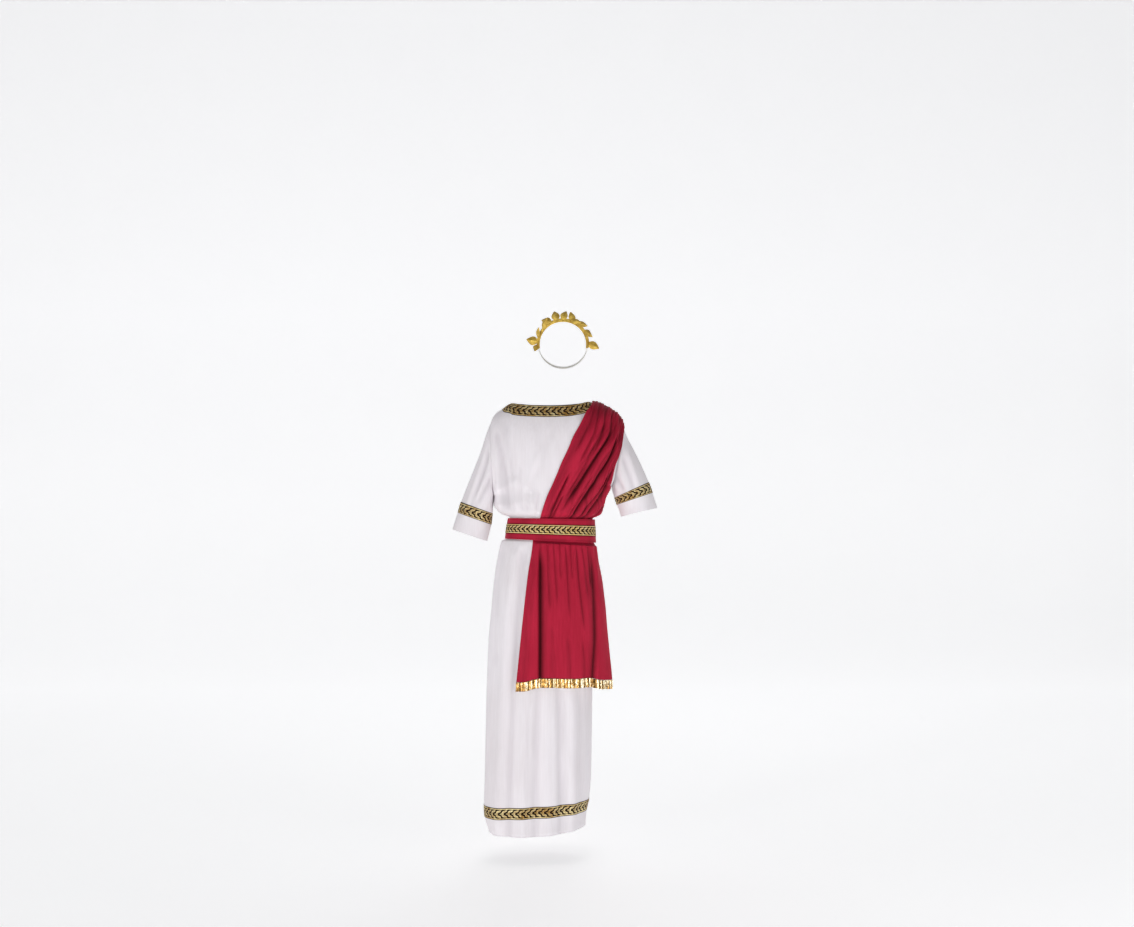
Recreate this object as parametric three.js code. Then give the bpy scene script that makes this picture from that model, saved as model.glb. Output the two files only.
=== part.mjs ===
import * as THREE from 'three';

// A Greek king costume in its worn, hollow form: a long white robe with short dropped sleeves,
// a burgundy sash in two lengths with a foil frill, a broad belt, woven laurel ribbons and a
// laurel hairband. Millimetres, +Z up, the front faces -Y. The origin lies on the shoulder line.

// Driving dimensions
const CLOTH = 2; // wall of the knit cloth
const BRAID = 1.2; // wall of a woven ribbon
const SEAM = 0.3; // gap between pieces that meet
const LAYER = 0.9; // room between two loose layers
const RIBBON = 38; // width of the ribbon at neck, cuffs and hem
const ARM_DEPTH = 63; // half the armhole's depth from front to back
const NECK_MIDDLE = -2.5; // the neck opening's centre, across
const NECK_HALF = 134.5; // half the neck opening's width
const NECK_FRONT = 78; // how far the neckline comes forward
const NECK_BACK = 60; // how far it goes back
const BELT_OVERLAP = 60; // length of the closure behind, where one end lies on the other
const FRILL_DROP = 31; // height of the foil frill
const FRILL_FLUTES = 30; // flutes in the foil frill
const HEM_LIFT = 9; // how much higher the hem hangs at the sides than in the middle

// Row heights of the robe. Above the underarm row they are nominal: each column of the panel
// is spread evenly between its own underarm height and its own top edge.
const HEM_ROW = -1446;
const UNDERARM_ROW = -300;
const TOP_ROW = 0;

const COLOURS = {
  white: { color: 0xeae6ec, roughness: 0.85, metalness: 0 },
  burgundy: { color: 0xa8263f, roughness: 0.75, metalness: 0 },
  braid: { color: 0xa98c48, roughness: 0.5, metalness: 0.2 },
  foil: { color: 0xcda046, roughness: 0.3, metalness: 0.9 },
  leaf: { color: 0xcda537, roughness: 0.5, metalness: 0.3 },
  elastic: { color: 0xf2f0ec, roughness: 0.8, metalness: 0 },
};

const costume = new THREE.Group();

// Helpers for numbers
function mix(from, to, part) {
  return from + (to - from) * part;
}

function ease(value, from, to) {
  const part = THREE.MathUtils.clamp((value - from) / (to - from), 0, 1);
  return part * part * (3 - 2 * part);
}

// A smooth curve through the given values that never swings past a neighbour:
// cubic pieces whose slope at each key is the harmonic mean of the slopes beside it.
function curveThrough(keys, values) {
  const steps = keys.slice(1).map((key, index) => key - keys[index]);
  const slopes = steps.map((step, index) => (values[index + 1] - values[index]) / step);
  const tangents = keys.map((key, index) => {
    if (index === 0) return slopes[0];
    if (index === steps.length) return slopes[index - 1];
    const before = slopes[index - 1];
    const after = slopes[index];
    return before * after <= 0 ? 0 : (2 * before * after) / (before + after);
  });
  return (at) => {
    const key = THREE.MathUtils.clamp(at, keys[0], keys[keys.length - 1]);
    const piece = Math.max(0, steps.findIndex((step, index) => key <= keys[index + 1]));
    const part = (key - keys[piece]) / steps[piece];
    const rest = 1 - part;
    return (
      values[piece] * (1 + 2 * part) * rest * rest +
      tangents[piece] * steps[piece] * part * rest * rest +
      values[piece + 1] * part * part * (3 - 2 * part) -
      tangents[piece + 1] * steps[piece] * part * part * rest
    );
  };
}

// A table has named columns, and its first column is the key that rises from row to row.
function table(columns, rows) {
  const keys = rows.map((row) => row[0]);
  const read = {};
  columns.slice(1).forEach((name, index) => {
    read[name] = curveThrough(keys, rows.map((row) => row[index + 1]));
  });
  return read;
}

// Outline of the robe from the front (left and right edge) and from the side (depth in front
// and behind), row by row. Turn is how much nearer the left side hangs, and slope how much
// higher the right side of the row lies, both per mm across. The belt sits on the leaning rows.
const robe = table(
  ['height', 'left', 'right', 'front', 'back', 'turn', 'slope'],
  [
    [-1446, -208, 117, 120, 116, 0.18, 0.03],
    [-1387, -222, 121, 119, 117, 0.18, 0.03],
    [-1349, -224, 129, 118, 118, 0.18, 0.026],
    [-1268, -222, 136, 118, 120, 0.17, 0.012],
    [-1000, -217, 140, 119, 122, 0.12, 0],
    [-826, -212, 143, 121, 124, 0.08, 0],
    [-694, -201, 145, 122, 125, 0.05, 0],
    [-605, -193, 146, 121, 122, 0.02, 0],
    [-520, -179, 147, 114, 110, 0, -0.02],
    [-481, -167, 147, 106, 101, 0, -0.045],
    [-474, -148, 144, 101, 96, 0, -0.045],
    [-398, -140, 140, 98, 92, 0, -0.015],
    [-388, -164, 150, 112, 105, 0, -0.012],
    [-376, -182, 162, 120, 113, 0, -0.008],
    [-340, -195, 182, 122, 118, 0, 0],
    [-300, -195, 207, 120, 117, 0, 0],
    [-200, -199, 222, 121, 112, 0, 0],
    [-100, -203, 236, 112, 100, 0, 0],
    [0, -207, 246, 96, 88, 0, 0],
  ],
);

// Top edge of the panels across the shoulders, from the left tip to the right tip.
const topEdge = table(
  ['x', 'front', 'back'],
  [
    [-207, -78, -78],
    [-198, -55, -55],
    [-184, -38, -38],
    [-164, -26, -26],
    [-137, -10, -10],
    [-110, -15, -9],
    [-60, -20, -9],
    [0, -22.5, -9],
    [60, -20, -7],
    [100, -13, -5],
    [132, -5, -5],
    [164, -13, -13],
    [202, -28, -28],
    [225, -46, -46],
    [238, -64, -64],
    [246, -90, -90],
  ],
);

const UNDERARM = { left: -325, right: -290 };

// Largest folds. Each runs through three points seen from its own side; z falls from start to
// end, depth is outward, so a trough has a minus, and width is half the fold's breadth.
const FOLD_COLUMNS = ['startX', 'startZ', 'midX', 'midZ', 'endX', 'endZ', 'width', 'depth'];

function foldRows(rows) {
  return rows.map((row) => Object.fromEntries(FOLD_COLUMNS.map((name, index) => [name, row[index]])));
}

const robeFrontFolds = foldRows([
  [-120, -486, -150, -800, -178, -1430, 20, 6],
  [-92, -486, -118, -850, -140, -1440, 14, -6],
  [-60, -620, -84, -1000, -96, -1440, 20, 6],
  [-36, -930, -48, -1150, -52, -1445, 15, -6],
  [-12, -930, -10, -1180, -6, -1445, 20, 6],
  [30, -930, 34, -1200, 38, -1445, 15, -6],
  [70, -930, 74, -1200, 74, -1445, 18, 5],
  [-190, -100, -170, -210, -152, -390, 13, -6],
  [-120, -240, -116, -320, -110, -398, 12, 5],
  [-84, -290, -82, -340, -80, -398, 10, -4],
  [-52, -300, -56, -350, -58, -398, 10, 4],
]);

const robeBackFolds = foldRows([
  [-110, -486, -140, -850, -170, -1430, 20, 6],
  [-70, -486, -96, -900, -120, -1440, 16, -6],
  [-30, -486, -52, -900, -66, -1440, 20, 7],
  [6, -520, -10, -900, -18, -1440, 16, -6],
  [44, -486, 36, -950, 30, -1440, 20, 6],
  [84, -500, 84, -950, 78, -1440, 16, -5],
  [-120, -220, -112, -320, -100, -398, 13, 6],
  [-60, -180, -58, -300, -52, -398, 13, -5],
  [0, -170, 0, -300, 0, -398, 15, 6],
  [60, -180, 62, -300, 58, -398, 13, -5],
  [124, -220, 120, -320, 108, -398, 13, 6],
]);

// Height of all folds together at a point: each is a bell across its line, faded at its ends.
function foldHeight(folds, x, z) {
  return folds.reduce((total, fold) => {
    const line = curveThrough([fold.endZ, fold.midZ, fold.startZ], [fold.endX, fold.midX, fold.startX]);
    const across = (x - line(z)) / fold.width;
    const fade = Math.min(40, (fold.startZ - fold.endZ) / 4);
    const start = 1 - ease(z, fold.startZ - fade, fold.startZ);
    const end = fold.endZ < HEM_ROW + 30 ? 1 : ease(z, fold.endZ, fold.endZ + fade);
    return total + fold.depth * Math.exp(-across * across) * start * end;
  }, 0);
}

// A point of the robe's plain outer face. Side is -1 in front and 1 behind, angle runs across
// from the left edge, -90 degrees, to the right edge, and height is the nominal row height.
function robePoint(side, angle, height) {
  const across = Math.sin(angle);
  const left = robe.left(height);
  const right = robe.right(height);
  const x = mix(left, right, (across + 1) / 2);
  const topX = mix(robe.left(TOP_ROW), robe.right(TOP_ROW), (across + 1) / 2);
  const underarm = mix(UNDERARM.left, UNDERARM.right, (across + 1) / 2);
  const rise = Math.max(0, (height - UNDERARM_ROW) / (TOP_ROW - UNDERARM_ROW));
  const depth = side < 0 ? robe.front(height) : robe.back(height);

  // Below the underarm the section closes at the side seam; above it, it stays open there.
  const closing = 0.5 + 0.5 * ease(rise, 0, 0.35);
  const bow = Math.pow(Math.max(0, 1 - Math.pow(Math.abs(across), 2.6)), closing);
  const armhole = ARM_DEPTH * 2 * Math.sqrt(Math.max(0, rise * (1 - rise)));

  // Towards the top the shoulder rounds over to the ridge, and the neck comes to its own edge.
  const neckReach = Math.abs((topX - NECK_MIDDLE) / NECK_HALF);
  const inNeck = neckReach < 1 ? 1 : 0;
  const neckDepth = side < 0 ? NECK_FRONT : NECK_BACK;
  const neck = inNeck ? neckDepth * Math.pow(1 - Math.pow(neckReach, 2.4), 1 / 2.4) : 0;
  const nearTop = ease(rise, 0.45, 1.55) * 2;
  const rounding = Math.pow(1 - Math.min(1, nearTop) ** 2, 0.5 + 0.5 * ease(neckReach, 1.02, 0.8));
  const out = armhole * (1 - bow) + depth * bow * rounding + neck * (1 - rounding);

  const top = side < 0 ? topEdge.front(topX) : topEdge.back(topX);
  const lower = ease(height, -380, UNDERARM_ROW);
  const z = rise > 0 ? mix(underarm, top, rise) : mix(height, underarm + height - UNDERARM_ROW, lower);
  const hemLift = HEM_LIFT * across ** 2 * (1 - ease(height, HEM_ROW, -1387));
  const fromMiddle = x - (left + right) / 2;
  const y = side * (out + SEAM / 2) + robe.turn(height) * fromMiddle;
  return new THREE.Vector3(x, y, z + robe.slope(height) * fromMiddle + hemLift);
}

// The outward direction of the plain face, from two short steps along it.
function robeNormal(side, angle, height) {
  const limit = Math.PI / 2;
  const stepAcross = 0.03;
  const stepUp = 1.5;
  const a = robePoint(side, Math.max(-limit, angle - stepAcross), height);
  const b = robePoint(side, Math.min(limit, angle + stepAcross), height);
  const low = robePoint(side, angle, Math.max(HEM_ROW, height - stepUp));
  const high = robePoint(side, angle, Math.min(TOP_ROW, height + stepUp));
  const normal = b.sub(a).cross(high.sub(low)).multiplyScalar(-side);
  const atSeam = Math.abs(angle) > limit - 1e-6 && height < UNDERARM_ROW + 1;
  const atTip = height > TOP_ROW - 1 && neckReachAt(angle) >= 0.999;
  if (atSeam || atTip) normal.y = 0;
  return normal.normalize();
}

function neckReachAt(angle) {
  const topX = mix(robe.left(TOP_ROW), robe.right(TOP_ROW), (Math.sin(angle) + 1) / 2);
  return Math.abs((topX - NECK_MIDDLE) / NECK_HALF);
}

// The robe's face with its folds. They die away at the side seams, the belt and the neck.
function robeFace(side, angle, height) {
  const point = robePoint(side, angle, height);
  const normal = robeNormal(side, angle, height);
  const folds = side < 0 ? robeFrontFolds : robeBackFolds;
  const inside = 1 - ease(Math.abs(Math.sin(angle)), 0.9, 1);
  const lift = foldHeight(folds, point.x, point.z) * inside;
  return { outer: point.clone().addScaledVector(normal, lift), normal };
}

// One closed wall from rows of outer and inner points. Rows may close on themselves.
function wall(name, outer, inner, finish, closedRows = false) {
  const rows = outer.length;
  const columns = outer[0].length;
  const positions = [];
  [...outer, ...inner].forEach((row) => row.forEach((p) => positions.push(p.x, p.y, p.z)));
  const index = (layer, row, column) => (layer * rows + row) * columns + (column % columns);
  const triangles = [];
  const quad = (a, b, c, d) => triangles.push(a, b, c, a, c, d);
  const spans = closedRows ? columns : columns - 1;
  for (let row = 0; row < rows - 1; row += 1) {
    const next = row + 1;
    for (let column = 0; column < spans; column += 1) {
      const after = column + 1;
      quad(index(0, row, column), index(0, row, after), index(0, next, after), index(0, next, column));
      quad(index(1, row, column), index(1, next, column), index(1, next, after), index(1, row, after));
    }
  }
  for (let column = 0; column < spans; column += 1) {
    const last = rows - 1;
    const after = column + 1;
    quad(index(0, 0, after), index(0, 0, column), index(1, 0, column), index(1, 0, after));
    quad(index(0, last, column), index(0, last, after), index(1, last, after), index(1, last, column));
  }
  if (!closedRows) {
    const last = columns - 1;
    for (let row = 0; row < rows - 1; row += 1) {
      quad(index(0, row, 0), index(0, row + 1, 0), index(1, row + 1, 0), index(1, row, 0));
      quad(index(0, row + 1, last), index(0, row, last), index(1, row, last), index(1, row + 1, last));
    }
  }
  addSolid(name, positions, triangles, finish);
}

// Adds a mesh, with its faces turned outward by the sign of its volume.
function addSolid(name, positions, triangles, finish) {
  const corner = (index) => new THREE.Vector3().fromArray(positions, index * 3);
  let volume = 0;
  for (let start = 0; start < triangles.length; start += 3) {
    const [a, b, c] = [0, 1, 2].map((offset) => corner(triangles[start + offset]));
    volume += a.dot(b.cross(c));
  }
  if (volume < 0) triangles.reverse();
  const geometry = new THREE.BufferGeometry();
  geometry.setAttribute('position', new THREE.Float32BufferAttribute(positions, 3));
  geometry.setIndex(triangles);
  geometry.computeVertexNormals();
  const mesh = new THREE.Mesh(geometry, new THREE.MeshStandardMaterial(COLOURS[finish]));
  mesh.name = name;
  costume.add(mesh);
}

function moved(grid, normals, distance) {
  return grid.map((row, i) => row.map((point, j) => point.clone().addScaledVector(normals[i][j], distance)));
}

// Directions across a grid of points, from the neighbours of each point.
function gridNormals(grid, closedRows = false) {
  const columns = grid[0].length;
  return grid.map((row, i) => row.map((point, j) => {
    const before = closedRows ? (j + columns - 1) % columns : Math.max(0, j - 1);
    const after = closedRows ? (j + 1) % columns : Math.min(columns - 1, j + 1);
    const across = row[after].clone().sub(row[before]);
    const along = grid[Math.min(grid.length - 1, i + 1)][j].clone().sub(grid[Math.max(0, i - 1)][j]);
    return across.cross(along).normalize();
  }));
}

// Robe panels. The columns are the same on every row, and closer together towards the corners
// of the neck. The counts are those of the left shoulder, the neck and the right shoulder.
const FRONT_COLUMNS = [4, 18, 6];
const BACK_COLUMNS = [3, 14, 4];

function panelAngles([leftCount, neckCount, rightCount]) {
  const half = (robe.right(TOP_ROW) - robe.left(TOP_ROW)) / 2;
  const middle = (robe.right(TOP_ROW) + robe.left(TOP_ROW)) / 2;
  const from = Math.asin((NECK_MIDDLE - NECK_HALF - middle) / half);
  const to = Math.asin((NECK_MIDDLE + NECK_HALF - middle) / half);
  const angles = [];
  for (let k = 0; k < leftCount; k += 1) angles.push(mix(-Math.PI / 2, from, k / leftCount));
  for (let k = 0; k < neckCount; k += 1) {
    const s = (2 * k) / neckCount - 1;
    angles.push(mix(from, to, 0.5 + 0.5 * (0.55 * s + 0.45 * Math.sin((Math.PI / 2) * s))));
  }
  for (let k = 0; k <= rightCount; k += 1) angles.push(mix(to, Math.PI / 2, k / rightCount));
  return angles;
}

const UPPER_STEPS = 8;
const HEM_BRAID = { low: -1387, high: -1387 + RIBBON };
const LOWER_ROWS = [
  HEM_ROW, HEM_BRAID.low, HEM_BRAID.high, -1260, -1120, -980, -840, -700, -590, -515,
  -481, -474, -398, -388, -376, -345,
];

function panelHeights() {
  const upper = Array.from({ length: UPPER_STEPS + 1 }, (unused, k) => (
    mix(UNDERARM_ROW, TOP_ROW, (1 - Math.cos((Math.PI * k) / UPPER_STEPS)) / 2)
  ));
  return LOWER_ROWS.concat(upper);
}

function robePanel(name, side, columns) {
  const angles = panelAngles(columns);
  const faces = panelHeights().map((height) => angles.map((angle) => robeFace(side, angle, height)));
  const outer = faces.map((row) => row.map((face) => face.outer));
  const normals = faces.map((row) => row.map((face) => face.normal));
  const inner = moved(outer, normals, -CLOTH);
  wall(name, outer, inner, 'white');
  return { outer, inner, normals };
}

const front = robePanel('robe_front', -1, FRONT_COLUMNS);
const back = robePanel('robe_back', 1, BACK_COLUMNS);

// Sleeves: short tubes whose first ring follows the armhole edges of both panels, and whose
// other rings stand on the line from an outer to an inner point, seen from the front.
const SLEEVE_COLUMNS = ['outerX', 'outerZ', 'innerX', 'innerZ', 'depth'];
const SLEEVE_RINGS = {
  sleeve_right: [
    [-221, -113, -195.5, -340, 64],
    [-243, -182, -196.5, -352, 65],
    [-272, -255, -197.5, -366, 65],
    [-306, -343, -199, -382, 63],
    [-317, -379, -203, -420, 61],
    [-327, -408, -210, -448, 59],
    [-336, -436, -218, -476, 58],
  ],
  sleeve_left: [
    [261, -127, 207, -300, 64],
    [284, -171, 209, -310, 65],
    [308, -221, 212, -319, 65],
    [332, -276, 215, -329, 63],
    [345, -312, 223, -353, 61],
    [352, -337, 230, -372, 59],
    [360, -364, 236, -394, 58],
  ],
};
const SLEEVE_BRAID = { top: 4, bottom: 5 };
const SLEEVE_CREASE = { depth: 2.5, count: 3, drift: 0.9 }; // creases that wander from ring to ring

// One ring: down the front from the shoulder tip to the underarm, and up the back again.
function armholeRing(outward, key) {
  const edge = (panel) => panel[key].slice(LOWER_ROWS.length).map((row) => row.at(outward < 0 ? 0 : -1));
  const frontEdge = edge(front).reverse();
  const backEdge = edge(back);
  const ring = frontEdge.concat(backEdge.slice(1, UPPER_STEPS));
  ring[0] = frontEdge[0].clone().lerp(backEdge[UPPER_STEPS], 0.5);
  ring[UPPER_STEPS] = frontEdge[UPPER_STEPS].clone().lerp(backEdge[0], 0.5);
  return ring;
}

function sleeve(name, outward) {
  const step = new THREE.Vector3(outward * SEAM, 0, -SEAM / 4);
  const first = armholeRing(outward, 'outer').map((point) => point.clone().add(step));
  const firstInner = armholeRing(outward, 'inner').map((point) => point.clone().add(step));
  const rings = SLEEVE_RINGS[name].map((row, number) => {
    const ring = Object.fromEntries(SLEEVE_COLUMNS.map((label, index) => [label, row[index]]));
    return first.map((start, k) => {
      const around = (Math.PI * k) / UPPER_STEPS;
      const along = (1 + Math.cos(around)) / 2;
      const turn = SLEEVE_CREASE.count * around + outward + number * SLEEVE_CREASE.drift;
      const crease = SLEEVE_CREASE.depth * Math.cos(turn) * Math.sin(around) ** 2;
      return new THREE.Vector3(
        mix(ring.innerX, ring.outerX, along),
        -(ring.depth + crease) * Math.sin(around),
        mix(ring.innerZ, ring.outerZ, along),
      );
    });
  });
  const outer = [first, ...rings];
  let normals = gridNormals(outer, true);
  const probe = normals[3][UPPER_STEPS / 2];
  if (probe.y > 0) normals = normals.map((row) => row.map((normal) => normal.negate()));
  const inner = moved(outer, normals, -CLOTH);
  inner[0] = firstInner;
  wall(name, outer, inner, 'white', true);
  const braidRows = [SLEEVE_BRAID.top, SLEEVE_BRAID.bottom];
  const on = braidRows.map((row) => moved([outer[row]], [normals[row]], SEAM)[0]);
  const over = braidRows.map((row) => moved([outer[row]], [normals[row]], SEAM + BRAID)[0]);
  wall(`${name}_braid`, over, on, 'braid', true);
}

sleeve('sleeve_right', -1);
sleeve('sleeve_left', 1);

// Hem ribbon: the panel's own rows, moved out.
function hemBraid(name, panel) {
  const rows = [LOWER_ROWS.indexOf(HEM_BRAID.low), LOWER_ROWS.indexOf(HEM_BRAID.high)];
  const points = rows.map((row) => panel.outer[row]);
  const normals = rows.map((row) => panel.normals[row]);
  wall(name, moved(points, normals, SEAM + BRAID), moved(points, normals, SEAM), 'braid');
}

hemBraid('hem_braid_front', front);
hemBraid('hem_braid_back', back);

// Neck ribbon: its upper edge is the neckline, and its lower edge starts further out on the
// shoulder ridge, so that each end lies along the ridge.
function neckBraid(name, side) {
  const half = (robe.right(TOP_ROW) - robe.left(TOP_ROW)) / 2;
  const middle = (robe.right(TOP_ROW) + robe.left(TOP_ROW)) / 2;
  const steps = 28;
  const across = 3;
  const grid = [];
  const normals = [];
  for (let row = 0; row <= across; row += 1) {
    const down = row / across;
    const points = [];
    const directions = [];
    for (let k = 0; k <= steps; k += 1) {
      const s = (2 * k) / steps - 1;
      const spread = 0.15 * s + 0.85 * Math.sin((Math.PI / 2) * s);
      const ends = Math.sqrt(Math.max(0, 1 - spread ** 2));
      const reach = NECK_HALF + RIBBON * 0.75 * down;
      const x = NECK_MIDDLE + reach * spread;
      const angle = Math.asin(THREE.MathUtils.clamp((x - middle) / half, -1, 1));
      const height = TOP_ROW - RIBBON * 1.06 * down * Math.min(1, ends * 1.6);
      const normal = robeNormal(side, angle, height);
      const clear = robePoint(side, angle, height).addScaledVector(normal, LAYER + 0.5 * (1 - ends));
      if (k === 0 || k === steps) clear.y = side * SEAM;
      points.push(clear);
      directions.push(normal);
    }
    grid.push(points);
    normals.push(directions);
  }
  wall(name, moved(grid, normals, BRAID), grid, 'braid');
}

neckBraid('neck_braid_front', -1);
neckBraid('neck_braid_back', 1);

// Sash, upper length: gathered at the right shoulder seam, fanned over the chest to the belt.
const sashEdge = table(
  ['height', 'x'],
  [
    [-440, -46],
    [-396, -35],
    [-354, -22],
    [-319, -9],
    [-289, 5],
    [-254, 20],
    [-210, 38],
    [-175, 55],
    [-125, 76],
    [-84, 99],
    [-42, 121],
    [-4, 141],
  ],
);

const sashFolds = foldRows([
  [216, -30, 150, -195, 40, -360, 9, -9],
  [238, -130, 168, -228, 69, -405, 8, -7],
  [222, -225, 150, -320, 100, -405, 8, -7],
  [188, -320, 150, -362, 120, -405, 8, -5],
  [150, -20, 120, -90, 92, -190, 8, -5],
  [60, -190, 28, -300, -8, -400, 8, -6],
  [176, -30, 104, -190, 14, -380, 9, 6],
  [230, -150, 130, -285, 56, -400, 9, 6],
  [224, -210, 166, -300, 86, -400, 8, 5],
]);

// The angle across at which a row of the panel passes a given x.
function angleAt(x, height) {
  const left = robe.left(height);
  const right = robe.right(height);
  return Math.asin(THREE.MathUtils.clamp((2 * (x - left)) / (right - left) - 1, -1, 1));
}

// The right edge follows the side seam and the armhole, and keeps in front of the sleeve.
const sashSide = table(
  ['height', 'angle'],
  [
    [-440, 1.57],
    [-362, 1.57],
    [-330, 1.34],
    [-290, 1.22],
    [-220, 1.28],
    [-150, 1.48],
    [-100, 1.57],
  ],
);

// How far the sash stands off the robe: clear of the ribbon under it and of the sleeve beside
// it, its own swell, and its small pleats at the shoulder and at the belt.
const UPPER_LIFT = { open: 1.8, overBraid: 4.6, bySleeve: 3, swell: 10, atShoulder: 1.2 };
const SHOULDER_PLEATS = { height: 1.2, count: 8, start: 1 };
const BELT_PLEATS = { height: 2.2, count: 7, start: 0.5, unevenness: 0.8, waves: 9 };

function upperSash() {
  const columns = 34;
  const heights = [-436, -401, -392, -382, -366, -340, -300, -250, -195, -145, -100, -64, -36, -14, 0];
  const base = [];
  const normals = [];
  const lifts = [];
  heights.forEach((height) => {
    const points = [];
    const directions = [];
    const lift = [];
    let angle = angleAt(0, height);
    for (let pass = 0; pass < 4; pass += 1) {
      angle = angleAt(sashEdge.x(robePoint(-1, angle, height).z), height);
    }
    for (let k = 0; k <= columns; k += 1) {
      const along = k / columns;
      const here = mix(angle, sashSide.angle(height), along);
      const point = robePoint(-1, here, height);
      const open = ease(height, -401, -386);
      const gathered = ease(height, -130, -8);
      const cinched = ease(height, -330, -390);
      const nearNeck = ease(height, -90, -55) * (1 - ease(point.x, 165, 200));
      const overBraid = UPPER_LIFT.overBraid * nearNeck;
      const nearSleeve = ease(along, 0.8, 1) * ease(height, -340, -300) * (1 - ease(height, -220, -150));
      const clear = UPPER_LIFT.open * open + overBraid + UPPER_LIFT.bySleeve * nearSleeve;
      const shoulderWave = Math.sin(along * Math.PI * 2 * SHOULDER_PLEATS.count + SHOULDER_PLEATS.start);
      const beltUneven = BELT_PLEATS.unevenness * Math.sin(BELT_PLEATS.waves * along);
      const beltWave = Math.sin(along * Math.PI * 2 * BELT_PLEATS.count + BELT_PLEATS.start + beltUneven);
      const pleats = SHOULDER_PLEATS.height * gathered * (1 + shoulderWave);
      const puckers = BELT_PLEATS.height * cinched * (1 + beltWave);
      const raised = ease(height, -398, -366) * (1 - ease(height, -160, -20));
      const swell = UPPER_LIFT.swell * raised + UPPER_LIFT.atShoulder * gathered;
      const fold = foldHeight(sashFolds, point.x, point.z) * open;
      points.push(point);
      directions.push(robeNormal(-1, here, height));
      const edge = Math.min(1, along * 12, (1 - along) * 7);
      lift.push(LAYER + clear + Math.max(0, (swell + fold) * edge) + (pleats + puckers * open) * edge);
    }
    base.push(points);
    normals.push(directions);
    lifts.push(lift);
  });
  const shifted = (extra) => base.map((row, i) => row.map((point, j) => (
    point.clone().addScaledVector(normals[i][j], lifts[i][j] + extra)
  )));
  wall('sash_upper', shifted(CLOTH), shifted(0), 'burgundy');
}

upperSash();

// Sash, lower length: caught under the belt, hanging over the skirt, its right flap standing out.
const frontPanelEdge = table(
  ['height', 'x'],
  [
    [-934, -113],
    [-750, -94],
    [-584, -75],
    [-484, -60],
    [-444, -58],
  ],
);

const LOWER_SASH_ROWS = [-934, -850, -750, -660, -590, -530, -500, -486, -481, -474, -444];
const FLAP = { x: 48, y: -42, stand: 9, power: 2.6 }; // how far the right edge swings out at the frill
const LOWER_LIFT = { swell: 12, rest: 1.5, puckers: 2, count: 8 };

const frontPanelFolds = foldRows([
  [-38, -484, -42, -700, -44, -960, 9, -10],
  [-16, -484, -18, -560, -22, -700, 8, -6],
  [4, -484, 2, -560, 0, -680, 8, -6],
  [40, -484, 42, -570, 46, -720, 9, -6],
  [66, -484, 74, -580, 84, -760, 9, -6],
  [92, -484, 100, -600, 112, -800, 9, -6],
  [124, -600, 134, -760, 140, -960, 9, -10],
  [-60, -520, -78, -720, -92, -960, 14, 6],
  [-14, -700, -14, -820, -14, -960, 18, 6],
  [60, -700, 66, -820, 74, -960, 22, 7],
]);

function lowerSashPoint(along, height) {
  const left = angleAt(frontPanelEdge.x(height), height);
  const angle = mix(left, Math.PI / 2, along);
  const point = robePoint(-1, angle, height);
  const normal = robeNormal(-1, angle, height);
  const fall = Math.pow(THREE.MathUtils.clamp((-478 - height) / 456, 0, 1), 1.1);
  const flap = Math.pow(along, FLAP.power);
  point.x += FLAP.x * flap * fall;
  point.y += mix(-FLAP.stand, FLAP.y, flap) * ease(height, -478, -700);
  const open = ease(height, -476, -496);
  const edge = Math.min(1, along * 10);
  const wave = Math.sin(along * Math.PI * 2 * LOWER_LIFT.count);
  const puckers = LOWER_LIFT.puckers * open * (1 - ease(height, -520, -700)) * (1 + wave);
  const swell = LOWER_LIFT.swell * open + LOWER_LIFT.rest;
  const folds = foldHeight(frontPanelFolds, point.x, height);
  const lift = LAYER + (swell + folds) * open * edge + puckers * edge;
  return { point: point.addScaledVector(normal, lift), normal };
}

function gridOf(rows, columns, pointAt) {
  return rows.map((row) => Array.from({ length: columns + 1 }, (unused, k) => pointAt(k / columns, row)));
}

function lowerSash() {
  const faces = gridOf(LOWER_SASH_ROWS, 34, lowerSashPoint);
  const inner = faces.map((row) => row.map((face) => face.point));
  const normals = gridNormals(inner);
  const flip = normals[0][10].y > 0 ? -1 : 1;
  wall('sash_lower', moved(inner, normals, CLOTH * flip), inner, 'burgundy');
}

lowerSash();

// Foil frill: hangs from the lower edge of the sash in sharp flutes that grow downwards.
function foilFrill() {
  const samples = 4;
  const columns = FRILL_FLUTES * samples;
  const outer = [];
  const inner = [];
  [0, 1].forEach((down) => {
    const row = [];
    const rowInner = [];
    for (let k = 0; k <= columns; k += 1) {
      const along = k / columns;
      const next = lowerSashPoint(Math.min(1, along + 0.01), LOWER_SASH_ROWS[0]).point;
      const before = lowerSashPoint(Math.max(0, along - 0.01), LOWER_SASH_ROWS[0]).point;
      const forward = next.sub(before).cross(new THREE.Vector3(0, 0, 1)).normalize();
      const { point } = lowerSashPoint(along, LOWER_SASH_ROWS[0]);
      const flute = Math.sin((Math.PI * k) / 2) * mix(1, 3.6, down) * (1 + 0.25 * Math.sin(k * 1.7));
      point.addScaledVector(forward, 1 + flute);
      point.z -= SEAM + FRILL_DROP * down;
      row.push(point.clone().addScaledVector(forward, 0.6));
      rowInner.push(point.clone().addScaledVector(forward, -0.6));
    }
    outer.push(row);
    inner.push(rowInner);
  });
  wall('foil_frill', outer, inner, 'foil');
}

foilFrill();

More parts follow.
